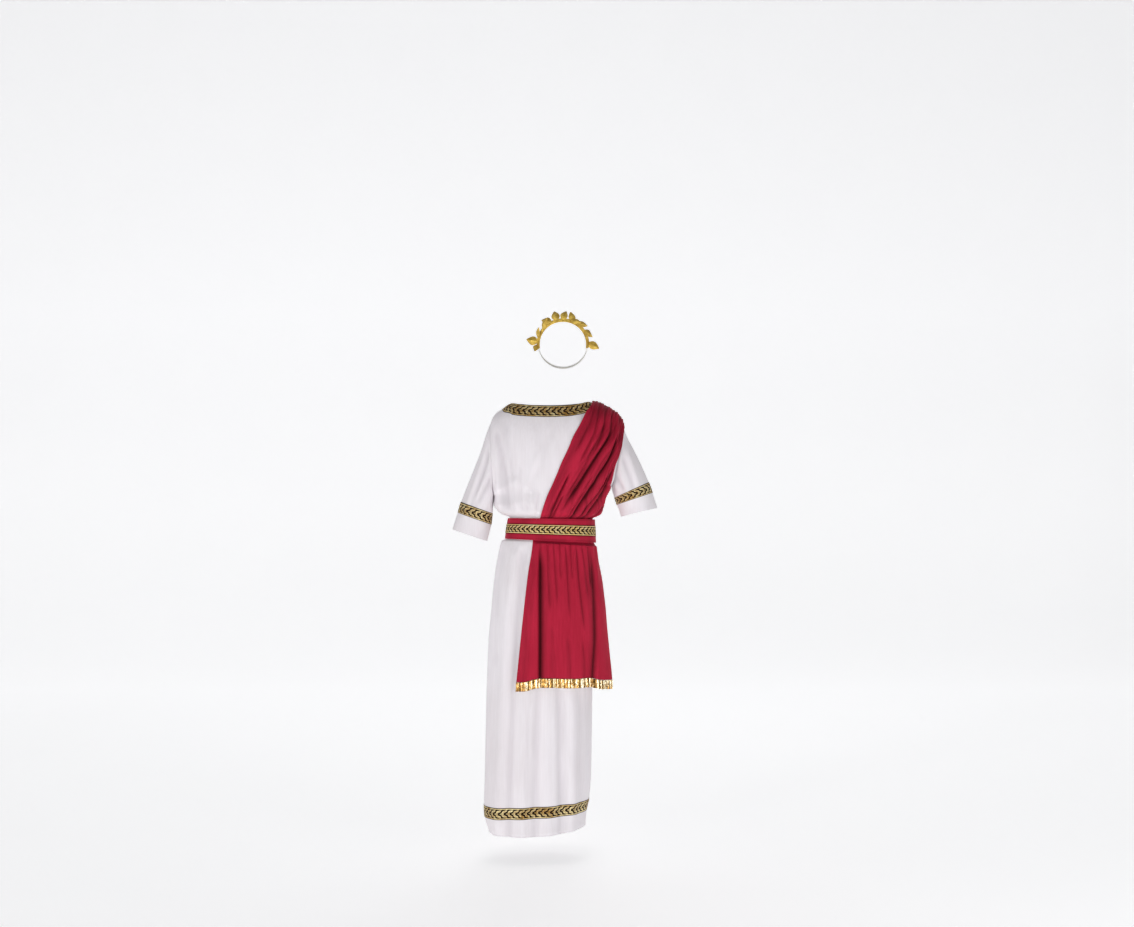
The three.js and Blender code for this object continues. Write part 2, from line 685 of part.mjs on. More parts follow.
// Belt: one strip round the waist that leans out a little downwards. It starts under its own
// end at the centre back, and its last stretch lies on the first.
const belt = table(
  ['height', 'left', 'right', 'front', 'back'],
  [
    [-480, -153.5, 150.5, 112, 100],
    [-399, -146, 148, 107, 96],
  ],
);
const BELT_LEAN = -0.03; // fall of the belt per mm to the right
const BELT_POWER = 2.3; // its section lies between an ellipse, 2, and a box
const BELT_ROWS = { low: -474.5, middle: -437.5, high: -400.5 };
const BELT_WIDENS = 0.0004; // the belt's edges spread by this much per mm to the right

function beltPoint(turnPart, across, lift) {
  const height = mix(BELT_ROWS.low, BELT_ROWS.high, across);
  const around = -Math.PI / 2 + Math.PI * 2 * turnPart;
  const x = Math.sin(around + Math.PI * 1.5);
  const y = -Math.cos(around + Math.PI * 1.5);
  const middle = (belt.left(height) + belt.right(height)) / 2;
  const half = (belt.right(height) - belt.left(height)) / 2 + lift;
  const depth = (y < 0 ? belt.front(height) : belt.back(height)) + lift;
  const round = Math.pow(Math.abs(x) ** BELT_POWER + Math.abs(y) ** BELT_POWER, -1 / BELT_POWER);
  const px = middle + half * x * round;
  const wide = (height - BELT_ROWS.middle) * BELT_WIDENS * px;
  return new THREE.Vector3(px, depth * y * round, height + BELT_LEAN * px + wide);
}

const BELT_COLUMNS = 56;
const BELT_TURNS = 1 + BELT_OVERLAP / 800;

function beltStrip(name, first, low, high, base, thickness, finish) {
  const count = BELT_COLUMNS - first + 1;
  const strip = (extra) => [low, high].map((across) => Array.from({ length: count }, (unused, k) => {
    const part = (BELT_TURNS * (first + k)) / BELT_COLUMNS;
    const over = (CLOTH + SEAM + 0.5) * ease(part, 0.93, 0.985);
    return beltPoint(part, across, base + over + extra);
  }));
  wall(name, strip(thickness), strip(0), finish);
}

beltStrip('belt', 0, 0, 1, 0, CLOTH, 'burgundy');
beltStrip('belt_braid', 5, 0.28, 0.73, CLOTH + SEAM, BRAID, 'braid');

// Hairband: a flat band over the crown from side to side, tilted so that its front is high,
// with an elastic behind.
const HAIR = { x: 40, y: -6, z: 194, halfWidth: 84, halfLength: 108, tilt: 0.66, band: 11, wall: 1.6 };

function hairRing(angle, lift, up) {
  const out = new THREE.Vector3(Math.sin(angle), -Math.cos(angle), 0);
  const flat = new THREE.Vector3(
    (HAIR.halfWidth + lift) * out.x,
    (HAIR.halfLength + lift) * out.y,
    up,
  );
  flat.applyAxisAngle(new THREE.Vector3(1, 0, 0), -HAIR.tilt);
  return flat.add(new THREE.Vector3(HAIR.x, HAIR.y, HAIR.z));
}

function hairStrip(name, from, to, height, thickness, finish, columns) {
  const strip = (lift) => [-height / 2, height / 2].map((up) => (
    Array.from({ length: columns + 1 }, (unused, k) => hairRing(mix(from, to, k / columns), lift, up))
  ));
  wall(name, strip(thickness), strip(0), finish);
}

const BAND_END = 1.72;
hairStrip('hairband', -BAND_END, BAND_END, HAIR.band, HAIR.wall, 'leaf', 30);
hairStrip('hairband_elastic', BAND_END + 0.004, Math.PI * 2 - BAND_END - 0.004, 10, 1.2, 'elastic', 20);

// Leaves. Each starts on the band at an angle round it and points along, above and out from
// the band. Frontal says how far it faces forward instead of straight out from the band.
const LEAF_COLUMNS = ['at', 'along', 'above', 'out', 'frontal', 'lift', 'length', 'width'];
const LEAF_ROWS = [
  [-1.52, 0.1, 0.1, 1, 1, 0.6, 43, 26],
  [-1.66, 0, -0.9, 0.62, 1, 2.4, 28, 17],
  [-1.3, 0.9, 0.45, 0.16, 0.2, 0.6, 38, 19],
  [-0.92, 0.85, -0.5, 0.15, 0.2, 0, 36, 18],
  [-0.62, -0.45, 0.8, 0.5, 0.3, 0, 36, 24],
  [-0.27, -0.25, 0.9, 0.25, 0.2, 0, 37, 25],
  [-0.03, 0.5, 0.8, 0.3, 0.2, 0.4, 34, 20],
  [0.27, 0.1, 0.95, 0.3, 0.2, 0.4, 31, 20],
  [0.36, 0.8, -0.6, 0.2, 0.2, 0, 33, 21],
  [0.78, -0.3, 0.85, 0.4, 0.3, 0, 27, 18],
  [0.98, 0.9, -0.35, 0.15, 0.2, 0, 38, 19],
  [1.54, 0.1, -0.55, 0.85, 1, 1.5, 43, 26],
];
const LEAF_WALL = 1.2;
const LEAF_BEND = 4; // how far the tip bends back
const LEAF_RIB = 2; // height of the rib in the middle
const LEAF_ENDS = { root: 0.04, tip: 0.985 }; // where the outline starts and ends on a sine arch
const LEAF_FULL = 0.8; // below 1, the leaf is fullest nearer its root

function leaf(name, values) {
  const row = Object.fromEntries(LEAF_COLUMNS.map((label, index) => [label, values[index]]));
  const root = hairRing(row.at, HAIR.wall + SEAM + row.lift, 0);
  const onBand = hairRing(row.at, HAIR.wall, 0);
  const along = hairRing(row.at + 0.01, HAIR.wall, 0).sub(onBand).normalize();
  const above = hairRing(row.at, HAIR.wall, 1).sub(onBand).normalize();
  const out = along.clone().cross(above).normalize();
  const tip = new THREE.Vector3()
    .addScaledVector(along, row.along)
    .addScaledVector(above, row.above)
    .addScaledVector(out, row.out)
    .normalize();
  const ahead = new THREE.Vector3(0, -1, 0);
  const face = out.clone().lerp(ahead, row.frontal);
  face.addScaledVector(tip, -face.dot(tip)).normalize();
  const broad = tip.clone().cross(face).normalize();
  const steps = 6;
  const halves = 1;
  const rows = (extra) => Array.from({ length: steps + 1 }, (unused, i) => {
    const part = i / steps;
    const spread = Math.sin(Math.PI * Math.pow(mix(LEAF_ENDS.root, LEAF_ENDS.tip, part), LEAF_FULL));
    return Array.from({ length: 2 * halves + 1 }, (none, j) => {
      const side = j / halves - 1;
      const rib = LEAF_RIB * (1 - Math.abs(side)) * Math.sin(Math.PI * part);
      return root.clone()
        .addScaledVector(tip, row.length * part)
        .addScaledVector(broad, (side * spread * row.width) / 2)
        .addScaledVector(face, rib + extra - LEAF_BEND * part * part + LEAF_BEND * 0.5 * part);
    });
  });
  wall(name, rows(LEAF_WALL), rows(0), 'leaf');
}

LEAF_ROWS.forEach((values, index) => leaf(`leaf_${String(index + 1).padStart(2, '0')}`, values));

export default costume;
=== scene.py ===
# %% [markdown]
# A Greek king costume: a long white robe with dropped sleeves, a burgundy sash in two
# lengths with a gold foil frill, a broad belt, woven laurel ribbons and a laurel hairband.
# The packed model fixes every place and size. Here each piece of cloth is made again as a
# finer, thinner sheet on the form of its solid, and gets a finish made from nodes.

# %% Load the frame
import math

import bpy
import numpy as np
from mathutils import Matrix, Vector


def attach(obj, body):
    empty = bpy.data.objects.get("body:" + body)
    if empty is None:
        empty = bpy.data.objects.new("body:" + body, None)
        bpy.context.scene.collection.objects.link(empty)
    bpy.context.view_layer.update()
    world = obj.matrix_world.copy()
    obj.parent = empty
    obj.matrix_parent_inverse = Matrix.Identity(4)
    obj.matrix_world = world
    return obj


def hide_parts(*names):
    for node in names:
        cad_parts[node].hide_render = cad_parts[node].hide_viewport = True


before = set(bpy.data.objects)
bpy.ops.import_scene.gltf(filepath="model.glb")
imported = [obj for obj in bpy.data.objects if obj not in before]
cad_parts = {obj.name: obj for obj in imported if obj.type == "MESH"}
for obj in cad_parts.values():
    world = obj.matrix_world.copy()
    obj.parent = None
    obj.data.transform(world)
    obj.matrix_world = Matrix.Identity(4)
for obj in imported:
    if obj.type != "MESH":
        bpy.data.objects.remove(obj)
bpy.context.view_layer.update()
print("nodes in the frame:", len(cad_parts))

# %% [markdown]
# The garment is drafted in millimetres, as a pattern maker works, and turned into metres
# when a mesh is made. Its lines could be drawn by hand as Bezier curves. A few measured
# values and a formula are easier to check and to change, so two helpers do the drafting: a
# soft step from 0 to 1, and a smooth curve that never swings past the values it joins.

# %% Drafting helpers
MM = 0.001


def mix(start, stop, part):
    """The value a given part of the way from start to stop."""
    return start + (stop - start) * part


def ease(value, start, stop):
    """0 before start and 1 after stop, with the cubic 3p^2 - 2p^3 between them."""
    part = np.clip((np.asarray(value, float) - start) / (stop - start), 0.0, 1.0)
    return part * part * (3 - 2 * part)


def curve_through(keys, values):
    """Cubic pieces whose slope at a key is the harmonic mean of the slopes beside it."""
    keys = np.asarray(keys, float)
    values = np.asarray(values, float)
    steps = np.diff(keys)
    slopes = np.diff(values) / steps
    tangents = np.zeros(len(keys))
    tangents[0] = slopes[0]
    tangents[-1] = slopes[-1]
    product = slopes[:-1] * slopes[1:]
    total = np.where(product > 0, slopes[:-1] + slopes[1:], 1.0)
    tangents[1:-1] = np.where(product > 0, 2 * product / total, 0.0)

    def read(at):
        at = np.clip(np.asarray(at, float), keys[0], keys[-1])
        piece = np.clip(np.searchsorted(keys, at) - 1, 0, len(steps) - 1)
        part = (at - keys[piece]) / steps[piece]
        rest = 1 - part
        return (values[piece] * (1 + 2 * part) * rest**2
                + tangents[piece] * steps[piece] * part * rest**2
                + values[piece + 1] * part**2 * (3 - 2 * part)
                - tangents[piece + 1] * steps[piece] * part**2 * rest)

    return read


class Table:
    """Rows with named columns. The first column is the key, and the others are curves."""

    def __init__(self, columns, rows):
        keys = [row[0] for row in rows]
        for number, name in enumerate(columns[1:], start=1):
            setattr(self, name, curve_through(keys, [row[number] for row in rows]))


def unit(vectors):
    """Vectors scaled to length one."""
    return vectors / np.maximum(np.linalg.norm(vectors, axis=-1, keepdims=True), 1e-9)


print("a quarter of a soft step:", float(ease(0.25, 0, 1)))

# %% [markdown]
# A sheet of cloth is a grid of points. It could be pulled into shape by hand, or dropped by
# a cloth simulation. A formula gives the same folds at every run and keeps each sheet clear
# of its neighbours, so that way is used for the whole costume. The grid is joined into
# quads here. A grid can come out inside out, so the maker gives one direction in which the
# right side of the cloth looks at the middle of the grid.

# %% From a grid to quads
def grid_quads(points, outward, closed):
    """Corners of each quad: row r and column c join r + 1 and c + 1, and c wraps if closed.
    They are turned round where the middle quad's cross product points against outward."""
    rows, columns = points.shape[:2]
    spans = columns if closed else columns - 1
    r, c = np.meshgrid(np.arange(rows - 1), np.arange(spans), indexing="ij")
    after = (c + 1) % columns
    corners = [(r, c), (r, after), (r + 1, after), (r + 1, c)]
    quads = np.stack([row * columns + column for row, column in corners], -1)
    row, column = rows // 2, columns // 2
    here = points[row, column]
    across = points[row, (column + 1) % columns] - here
    along = points[row + 1, column] - here
    if np.dot(np.cross(across, along), outward) < 0:
        quads = quads[..., ::-1]
    return quads.reshape(-1, 4)


sample = np.stack(np.meshgrid(range(4), range(3), [0]), -1).reshape(3, 4, 3)
print("a grid of 3 by 4 points makes", len(grid_quads(sample, (0, 0, 1), False)), "quads")

# %% [markdown]
# The UV map holds metres along and across the cloth, so that a weave has the same scale on
# every piece. On a closed tube the last column of quads comes back to the first column of
# points, and their corners there need the whole girth, or the pattern would run backwards
# through that one column.

# %% The cloth's own measure
def grid_lengths(points):
    """Distance walked along the rows and along the columns, averaged over the grid."""
    across = np.linalg.norm(np.diff(points, axis=1), axis=-1).mean(axis=0)
    along = np.linalg.norm(np.diff(points, axis=0), axis=-1).mean(axis=1)
    return np.concatenate([[0], np.cumsum(across)]), np.concatenate([[0], np.cumsum(along)])


def ribbon_uv(points, width):
    """Length along the ribbon and exactly its width across, in mm."""
    along = grid_lengths(points)[0]
    across = np.linspace(0, width, points.shape[0])
    return np.stack(np.meshgrid(along, across), -1)


def corner_uv(points, quads, uv, closed):
    """Each corner's place on the cloth in metres, with the whole girth where a quad wraps."""
    if uv is None:
        across, along = grid_lengths(points)
        uv = np.stack(np.meshgrid(across, along), -1)
    uv = uv.reshape(-1, 2)[quads.ravel()] * MM
    if closed:
        columns = points.shape[1]
        gap = np.linalg.norm(points[0, 0] - points[0, -1]) * MM
        first = quads % columns == 0
        wraps = first.any(axis=1) & (quads % columns == columns - 1).any(axis=1)
        uv[(first & wraps[:, None]).ravel(), 0] = uv[:, 0].max() + gap
    return uv


print("a grid of 3 by 4 points is", grid_lengths(sample)[0][-1], "steps across")

# %% [markdown]
# Now the sheet itself. Real cloth has two sides and an edge, so Solidify adds a wall behind
# the drafted face. A finished piece then takes its node's place in the frame.

# %% From quads to a piece
def make_sheet(name, points, outward, closed=False, wall=1.0, uv=None):
    """A smooth mesh from a grid of points in mm, with its UV map and a wall behind it."""
    quads = grid_quads(points, outward, closed)
    mesh = bpy.data.meshes.new(name)
    mesh.vertices.add(points.size // 3)
    mesh.vertices.foreach_set("co", (points.reshape(-1, 3) * MM).ravel())
    mesh.loops.add(quads.size)
    mesh.loops.foreach_set("vertex_index", quads.ravel())
    mesh.polygons.add(len(quads))
    mesh.polygons.foreach_set("loop_start", np.arange(0, quads.size, 4))
    mesh.polygons.foreach_set("loop_total", np.full(len(quads), 4))
    layer = mesh.uv_layers.new(name="cloth")
    mesh.update(calc_edges=True)
    layer.data.foreach_set("uv", corner_uv(points, quads, uv, closed).ravel())
    mesh.polygons.foreach_set("use_smooth", np.ones(len(quads), bool))
    mesh.validate()
    piece = bpy.data.objects.new(name, mesh)
    bpy.context.scene.collection.objects.link(piece)
    if wall:
        solid = piece.modifiers.new("wall", "SOLIDIFY")
        solid.thickness = wall * MM
        solid.offset = -1
    return piece


def paint(piece, name, values):
    """A number for every point of a piece, which its finish can read by name."""
    layer = piece.data.attributes.new(name, "FLOAT", "POINT")
    layer.data.foreach_set("value", np.asarray(values, float).ravel())


def settle(piece, node, material):
    """A finished piece takes its node's place, rides on the one body and gets its material."""
    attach(piece, "root")
    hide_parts(node)
    piece.data.materials.append(material)


print("millimetres in a metre:", round(1 / MM))

# %% [markdown]
# A finish could be wired up node by node. It is easier to read as an expression, so a
# `Wire` stands for one output of a node, and arithmetic on wires adds Math nodes:
# `1 - mask * 0.5` reads as it works.

# %% Expressions for shader nodes
class Wire:
    """One output of a node."""

    def __init__(self, finish, socket):
        self.finish = finish
        self.socket = socket

    def math(self, operation, *values):
        """A Math node on these values, in their order."""
        return self.finish.node("ShaderNodeMath", {"operation": operation}, dict(enumerate(values)))

    def __add__(self, other):
        return self.math("ADD", self, other)

    def __radd__(self, other):
        return self.math("ADD", other, self)

    def __sub__(self, other):
        return self.math("SUBTRACT", self, other)

    def __rsub__(self, other):
        return self.math("SUBTRACT", other, self)

    def __mul__(self, other):
        return self.math("MULTIPLY", self, other)

    def __rmul__(self, other):
        return self.math("MULTIPLY", other, self)

    def __truediv__(self, other):
        return self.math("DIVIDE", self, other)

    def __rtruediv__(self, other):
        return self.math("DIVIDE", other, self)

    def sine(self):
        """The sine of an angle in radians."""
        return self.math("SINE", self)

    def absolute(self):
        """The value without its sign."""
        return self.math("ABSOLUTE", self)

    def fraction(self):
        """The value less the whole number below it."""
        return self.math("FRACT", self)

    def soft(self, start, stop):
        """0 at start and 1 at stop, smoothly."""
        settings = {"interpolation_type": "SMOOTHSTEP"}
        inputs = {"Value": self, "From Min": start, "From Max": stop}
        return self.finish.node("ShaderNodeMapRange", settings, inputs)


print("reflected forms:", [name for name in vars(Wire) if name.startswith("__r")])

# %% [markdown]
# A `Finish` is a material under construction. Its `node` method sets a node's own settings
# first and its inputs after them, because some settings change which inputs a node has.

# %% Finishes
class Finish:
    """A material under construction."""

    def __init__(self, name):
        self.material = bpy.data.materials.new(name)
        self.material.use_nodes = True
        self.tree = self.material.node_tree
        self.tree.nodes.clear()

    def node(self, kind, settings=None, inputs=None, output=0):
        """A node with its settings, then its inputs, which are values or wires."""
        node = self.tree.nodes.new(kind)
        for name, value in (settings or {}).items():
            setattr(node, name, value)
        for name, value in (inputs or {}).items():
            if isinstance(value, Wire):
                self.tree.links.new(value.socket, node.inputs[name])
            else:
                node.inputs[name].default_value = value
        return Wire(self, node.outputs[output])

    def cloth(self):
        """Metres across and along the cloth, from its UV map."""
        place = self.node("ShaderNodeUVMap", {"uv_map": "cloth"})
        return [self.node("ShaderNodeSeparateXYZ", None, {0: place}, axis) for axis in (0, 1)]

    def painted(self, name):
        """The number that the maker stored at each point."""
        return self.node("ShaderNodeAttribute", {"attribute_name": name}, None, "Fac")

    def noise(self, scale, detail=3.0, roughness=0.55, stretch=(1, 1, 1)):
        """Noise in the object's own space. A small third stretch draws it out downwards."""
        place = self.node("ShaderNodeTexCoord", None, None, "Object")
        place = self.node("ShaderNodeMapping", None, {"Vector": place, "Scale": stretch})
        inputs = {"Vector": place, "Scale": scale, "Detail": detail, "Roughness": roughness}
        return self.node("ShaderNodeTexNoise", None, inputs, "Fac")

    def blend(self, part, first, second):
        """A colour between two colours."""
        settings = {"data_type": "RGBA", "clamp_factor": True}
        return self.node("ShaderNodeMix", settings, {0: part, 6: first, 7: second}, 2)

    def bump(self, height):
        """A normal tilted by a relief whose height is in metres."""
        inputs = {"Height": height, "Strength": 1.0, "Distance": 1.0}
        return self.node("ShaderNodeBump", None, inputs)

    def surface(self, inputs):
        """The finished material: one shader with these inputs, joined to the output."""
        shader = self.node("ShaderNodeBsdfPrincipled", None, inputs)
        target = self.tree.nodes.new("ShaderNodeOutputMaterial")
        self.tree.links.new(shader.socket, target.inputs["Surface"])
        return self.material


def colour(red, green, blue):
    """A linear colour from the 0 to 255 values that a screen shows."""
    values = np.array([red, green, blue]) / 255
    linear = np.where(values <= 0.04045, values / 12.92, ((values + 0.055) / 1.055) ** 2.4)
    return (*[float(v) for v in linear], 1.0)


print("mid grey is linear", round(colour(128, 128, 128)[0], 3))

# %% [markdown]
# The robe and the sash are a fine polyester knit. Up close it shows rows of tiny loops,
# about a millimetre apart, and from a step away only a soft tone in faint streaks and a
# slight sheen where the cloth turns away. A photographed texture would repeat over so long
# a piece, so the loops are a low relief worked out from the UV map, and noise of four sizes
# gives the tone and the crumple. A crease is darker at its bottom than so shallow a relief
# makes it, so each maker paints shade into the creases as a number on the points, and the
# finish blends the colour towards a shade colour by it.

# %% Knit cloth
LOOP = 0.0011  # breadth of one knitted loop, in metres
RUNG = LOOP * 1.3  # its height


def sine_rows(place, spacing):
    """A sine wave along a measure of the cloth, one wave for each spacing."""
    return (place * (2 * math.pi / spacing)).sine()


def knit(name, light, dark, deep, rough, sheen, sheen_tint, wander):
    """The tone adds broad patches times wander, grain, loops and streaks, and blends light to
    dark. The painted shade of the creases then blends it to deep, the shade colour."""
    finish = Finish(name)
    across, along = finish.cloth()
    loops = sine_rows(across, LOOP) * 0.6 + sine_rows(along, RUNG) * 0.4
    broad = finish.noise(6.0, 3.0, 0.5, (1, 1, 0.45))
    grain = finish.noise(700.0, 2.0, 0.7)
    streaks = finish.noise(170.0, 2.0, 0.6, (1, 1, 0.06))
    crumple = finish.noise(34.0, 3.0, 0.5, (1, 1, 0.35))
    tone = broad.soft(0.3, 0.75) * wander + grain * 0.12 + loops * 0.02 + (streaks - 0.5) * 0.9
    relief = loops * 0.00007 + grain * 0.00012 + crumple * 0.0009 + streaks * 0.0003
    return finish.surface({
        # painted shade: the painted crease number blends the tone towards deep, the shade colour
        "Base Color": finish.blend(finish.painted("shade_stitch_wear"), finish.blend(tone, light, dark), deep),
        "Roughness": grain * 0.15 + rough,
        "Normal": finish.bump(relief),
        "Sheen Weight": sheen,
        "Sheen Roughness": 0.45,
        "Sheen Tint": sheen_tint,
        "Specular IOR Level": 0.15,
    })


WHITE_KNIT = knit("white_knit", colour(239, 234, 238), colour(227, 220, 223), colour(170, 160, 168),
                  rough=0.8, sheen=0.05, sheen_tint=(1, 1, 1, 1), wander=0.6)
WINE_KNIT = knit("wine_knit", colour(186, 30, 60), colour(158, 17, 44), colour(82, 4, 17),
                 rough=0.6, sheen=0.1, sheen_tint=colour(235, 120, 140), wander=0.7)
print("knits:", WHITE_KNIT.name, WINE_KNIT.name)

# %% [markdown]
# The ribbon is a woven jacquard. On a near-black ground, pairs of laurel leaves in gold
# thread point along the ribbon as a chevron, and a gold line runs along both edges. It
# could be drawn as a picture and laid on, but a chart made from two numbers stays sharp at
# any distance: how far along the ribbon a point lies, and how far it is from the ribbon's
# middle. Slanting the first by the second bends straight bars into chevrons, and the bars
# swell and narrow to leaves.

# %% Laurel ribbon
PITCH = 0.52  # length of one pair of leaves, as a part of the ribbon's width
SLANT = 0.62  # how far a leaf leans along the ribbon from its middle to its edge, likewise
LEAF_END = 0.75  # where the leaves end and the gold line begins, from middle 0 to edge 1
LINE_END = 0.89  # where the gold line ends and the dark edge begins


def laurel_ribbon(name, width, ground, thread):
    """A gap is dark where the distance to the middle of a bar's period is under the gap's
    width, which swells near the ribbon's middle and near the leaf tips. Ground says how wide
    the gaps are, and thread is the gold's colour between the painted highlights."""
    finish = Finish(name)
    along, across = finish.cloth()
    off = (across / width * 2 - 1).absolute()
    phase = ((along / width - off * SLANT) / PITCH).fraction()
    from_gap = (phase - 0.5).absolute()
    inside = (LEAF_END - off).soft(-0.02, 0.02)
    by_middle = 1 - (off - 0.18).absolute().soft(0.03, 0.2)
    by_tips = 1 - (off - 0.66).absolute().soft(0.05, 0.2)
    gap_width = 0.08 + 0.07 * ground + by_middle * (0.12 + 0.06 * ground) + by_tips * 0.22
    gap = (gap_width - from_gap).soft(-0.04, 0.04) * inside
    edge = (off - LINE_END).soft(-0.02, 0.02)
    dark = 1 - (1 - gap) * (1 - edge)
    vein = (0.06 - (0.5 - from_gap)).soft(-0.03, 0.03) * inside
    spine = (0.05 - off).soft(-0.02, 0.03) * 0.5
    threads = sine_rows(across, 0.0007) * sine_rows(along, 0.0009)
    grain = finish.noise(330.0, 2.0, 0.7)
    gloss = finish.noise(70.0, 2.0, 0.5)
    broad = finish.noise(14.0, 2.0, 0.5)
    # painted highlights on the gold thread, from three sizes of noise
    painted_highlight = (grain * 0.5 + gloss * 0.5 + broad * 0.5).soft(0.55, 0.95)
    gold = finish.blend(painted_highlight, thread, colour(255, 240, 184))
    gold = finish.blend(vein * 0.7 + spine, gold, colour(104, 74, 24))
    relief = (1 - dark) * 0.0004 + threads * 0.00008 + grain * 0.0002 - vein * 0.0001
    return finish.surface({
        "Base Color": finish.blend(dark, gold, colour(36, 20, 6)),
        "Metallic": (1 - dark) * 0.4,
        "Roughness": 0.58 - (1 - dark) * 0.16 + grain * 0.1,
        "Normal": finish.bump(relief),
        "Specular IOR Level": 0.15,
    })


RIBBON = 38  # the ribbon's width in mm, as woven
BELT_RIBBON = 33
LAUREL = laurel_ribbon("laurel_ribbon", RIBBON * MM, 1, colour(174, 128, 56))
LAUREL_NARROW = laurel_ribbon("laurel_ribbon_belt", BELT_RIBBON * MM, 1.3, colour(236, 200, 120))
print("leaf pairs in a metre of ribbon:", round(1 / (PITCH * RIBBON * MM)))

# %% [markdown]
# The frill is cloth coated with gold foil, which mirrors its surroundings in broken, hard
# highlights. The hairband's leaves are a gold lame: fine metal thread with a glittering
# grain. A plain metal would mirror an empty studio and look flat, so both mix a metal with
# a gold colour that varies and stands in for the reflections: painted highlights and painted
# shade on the foil's flutes, painted glints and patches on the lame. Both have a strong
# relief. The lame is rougher and yellower.

# %% Foil, lame and elastic
def foil():
    """The maker paints each flute from 0 in its shade to 1 on its lit crest, crushed by noise."""
    finish = Finish("gold_foil")
    crush = finish.noise(150.0, 3.0, 0.6, (1, 1, 0.45))
    grain = finish.noise(900.0, 1.0, 0.5)
    crest = finish.painted("crest") + (crush - 0.5) * 1.5
    shade = finish.blend(crest.soft(0.1, 0.5), colour(108, 78, 36), colour(214, 162, 82))
    return finish.surface({
        "Base Color": finish.blend(crest.soft(0.45, 0.85), shade, colour(252, 242, 208)),
        "Metallic": 0.75,
        "Roughness": crush * 0.12 + 0.2,
        "Normal": finish.bump(crush * 0.0012 + grain * 0.00002),
    })


def lame():
    """Painted glitter and soft patches of painted reflection blend an olive gold to a light gold
    over a fine square weave.
    """
    finish = Finish("gold_lame")
    grain = finish.noise(520.0, 2.0, 0.7)
    broad = finish.noise(60.0, 2.0, 0.5)
    across, along = finish.cloth()
    weave = sine_rows(across, 0.0012) * sine_rows(along, 0.0012)
    # painted glints and patches of painted reflection
    tone = grain.soft(0.35, 0.65) * 0.55 + broad.soft(0.35, 0.65) * 0.45
    return finish.surface({
        "Base Color": finish.blend(tone, colour(158, 122, 34), colour(242, 208, 100)),
        "Metallic": 0.5,
        "Roughness": grain * 0.2 + 0.36,
        "Normal": finish.bump(grain * 0.0003 + weave * 0.00008 + broad * 0.0006),
    })


def woven_elastic():
    """Cords along the strip and picks across it, as two sine waves."""
    finish = Finish("woven_elastic")
    across, along = finish.cloth()
    cords = sine_rows(along, 0.001)
    picks = sine_rows(across, 0.0014)
    tone = cords * 0.15 + picks * 0.1 + finish.noise(200.0) * 0.3
    return finish.surface({
        "Base Color": finish.blend(tone, colour(238, 236, 230), colour(214, 210, 204)),
        "Roughness": 0.7,
        "Normal": finish.bump(cords * 0.00015 + picks * 0.00008),
    })


GOLD_FOIL = foil()
GOLD_LAME = lame()
ELASTIC = woven_elastic()
print("metals:", GOLD_FOIL.name, GOLD_LAME.name)

# %% [markdown]
# The robe is two panels, front and back, that meet at the side seams, the shoulders and the
# armholes. A sculpted shape would have no cut to follow, so one function gives any point of
# a panel from the two numbers that a cutter would use: how far across, as an angle, and at
# which row. The outline, the depth and the top edge stand in two short tables.

# %% Outline of the robe
HEM_ROW = -1446
BRAID_ROW = -1387  # lower edge of the hem ribbon
UNDERARM_ROW = -300
TOP_ROW = 0
UNDERARM_LEFT = -325
UNDERARM_RIGHT = -290
ARM_DEPTH = 63  # half the armhole's depth from front to back
NECK_MIDDLE = -2.5
NECK_HALF = 134.5
NECK_DEPTH = {-1: 78, 1: 60}  # how far the neck opens to the front and to the back
SEAM = 0.3  # the gap left where two pieces meet
HEM_LIFT = 9  # how much higher the hem hangs at the sides than in the middle

ROBE = Table(
    ["height", "left", "right", "front", "back", "turn", "slope"],
    [
        [-1446, -208, 117, 120, 116, 0.18, 0.03],
        [-1387, -222, 121, 119, 117, 0.18, 0.03],
        [-1349, -224, 129, 118, 118, 0.18, 0.026],
        [-1268, -222, 136, 118, 120, 0.17, 0.012],
        [-1000, -217, 140, 119, 122, 0.12, 0],
        [-826, -212, 143, 121, 124, 0.08, 0],
        [-694, -201, 145, 122, 125, 0.05, 0],
        [-605, -193, 146, 121, 122, 0.02, 0],
        [-520, -179, 147, 114, 110, 0, -0.02],
        [-481, -167, 147, 106, 101, 0, -0.045],
        [-474, -148, 144, 101, 96, 0, -0.045],
        [-398, -140, 140, 98, 92, 0, -0.015],
        [-388, -164, 150, 112, 105, 0, -0.012],
        [-376, -182, 162, 120, 113, 0, -0.008],
        [-340, -195, 182, 122, 118, 0, 0],
        [-300, -195, 207, 120, 117, 0, 0],
        [-200, -199, 222, 121, 112, 0, 0],
        [-100, -203, 236, 112, 100, 0, 0],
        [0, -207, 246, 96, 88, 0, 0],
    ],
)

TOP_EDGE = Table(
    ["x", "front", "back"],
    [
        [-207, -78, -78],
        [-198, -55, -55],
        [-184, -38, -38],
        [-164, -26, -26],
        [-137, -10, -10],
        [-110, -15, -9],
        [-60, -20, -9],
        [0, -22.5, -9],
        [60, -20, -7],
        [100, -13, -5],
        [132, -5, -5],
        [164, -13, -13],
        [202, -28, -28],
        [225, -46, -46],
        [238, -64, -64],
        [246, -90, -90],
    ],
)
TOP_MIDDLE = (ROBE.right(TOP_ROW) + ROBE.left(TOP_ROW)) / 2
TOP_HALF = (ROBE.right(TOP_ROW) - ROBE.left(TOP_ROW)) / 2
print("robe half-width at the waist, mm:", float((ROBE.right(-440) - ROBE.left(-440)) / 2))

# %% [markdown]
# Below the underarm the section of the robe closes at the side seams. Above it, it stays
# open for the sleeve, and near the top it rounds over to the shoulder ridge and the neck.

# %% A point of the robe
SECTION = 2.6  # the superellipse of a section: more is squarer
NECK_CURVE = 2.4  # the same for the neckline seen from above


def along_top(across):
    """X where a column of the panel, at sine across, ends in the top row."""
    return mix(ROBE.left(TOP_ROW), ROBE.right(TOP_ROW), (across + 1) / 2)


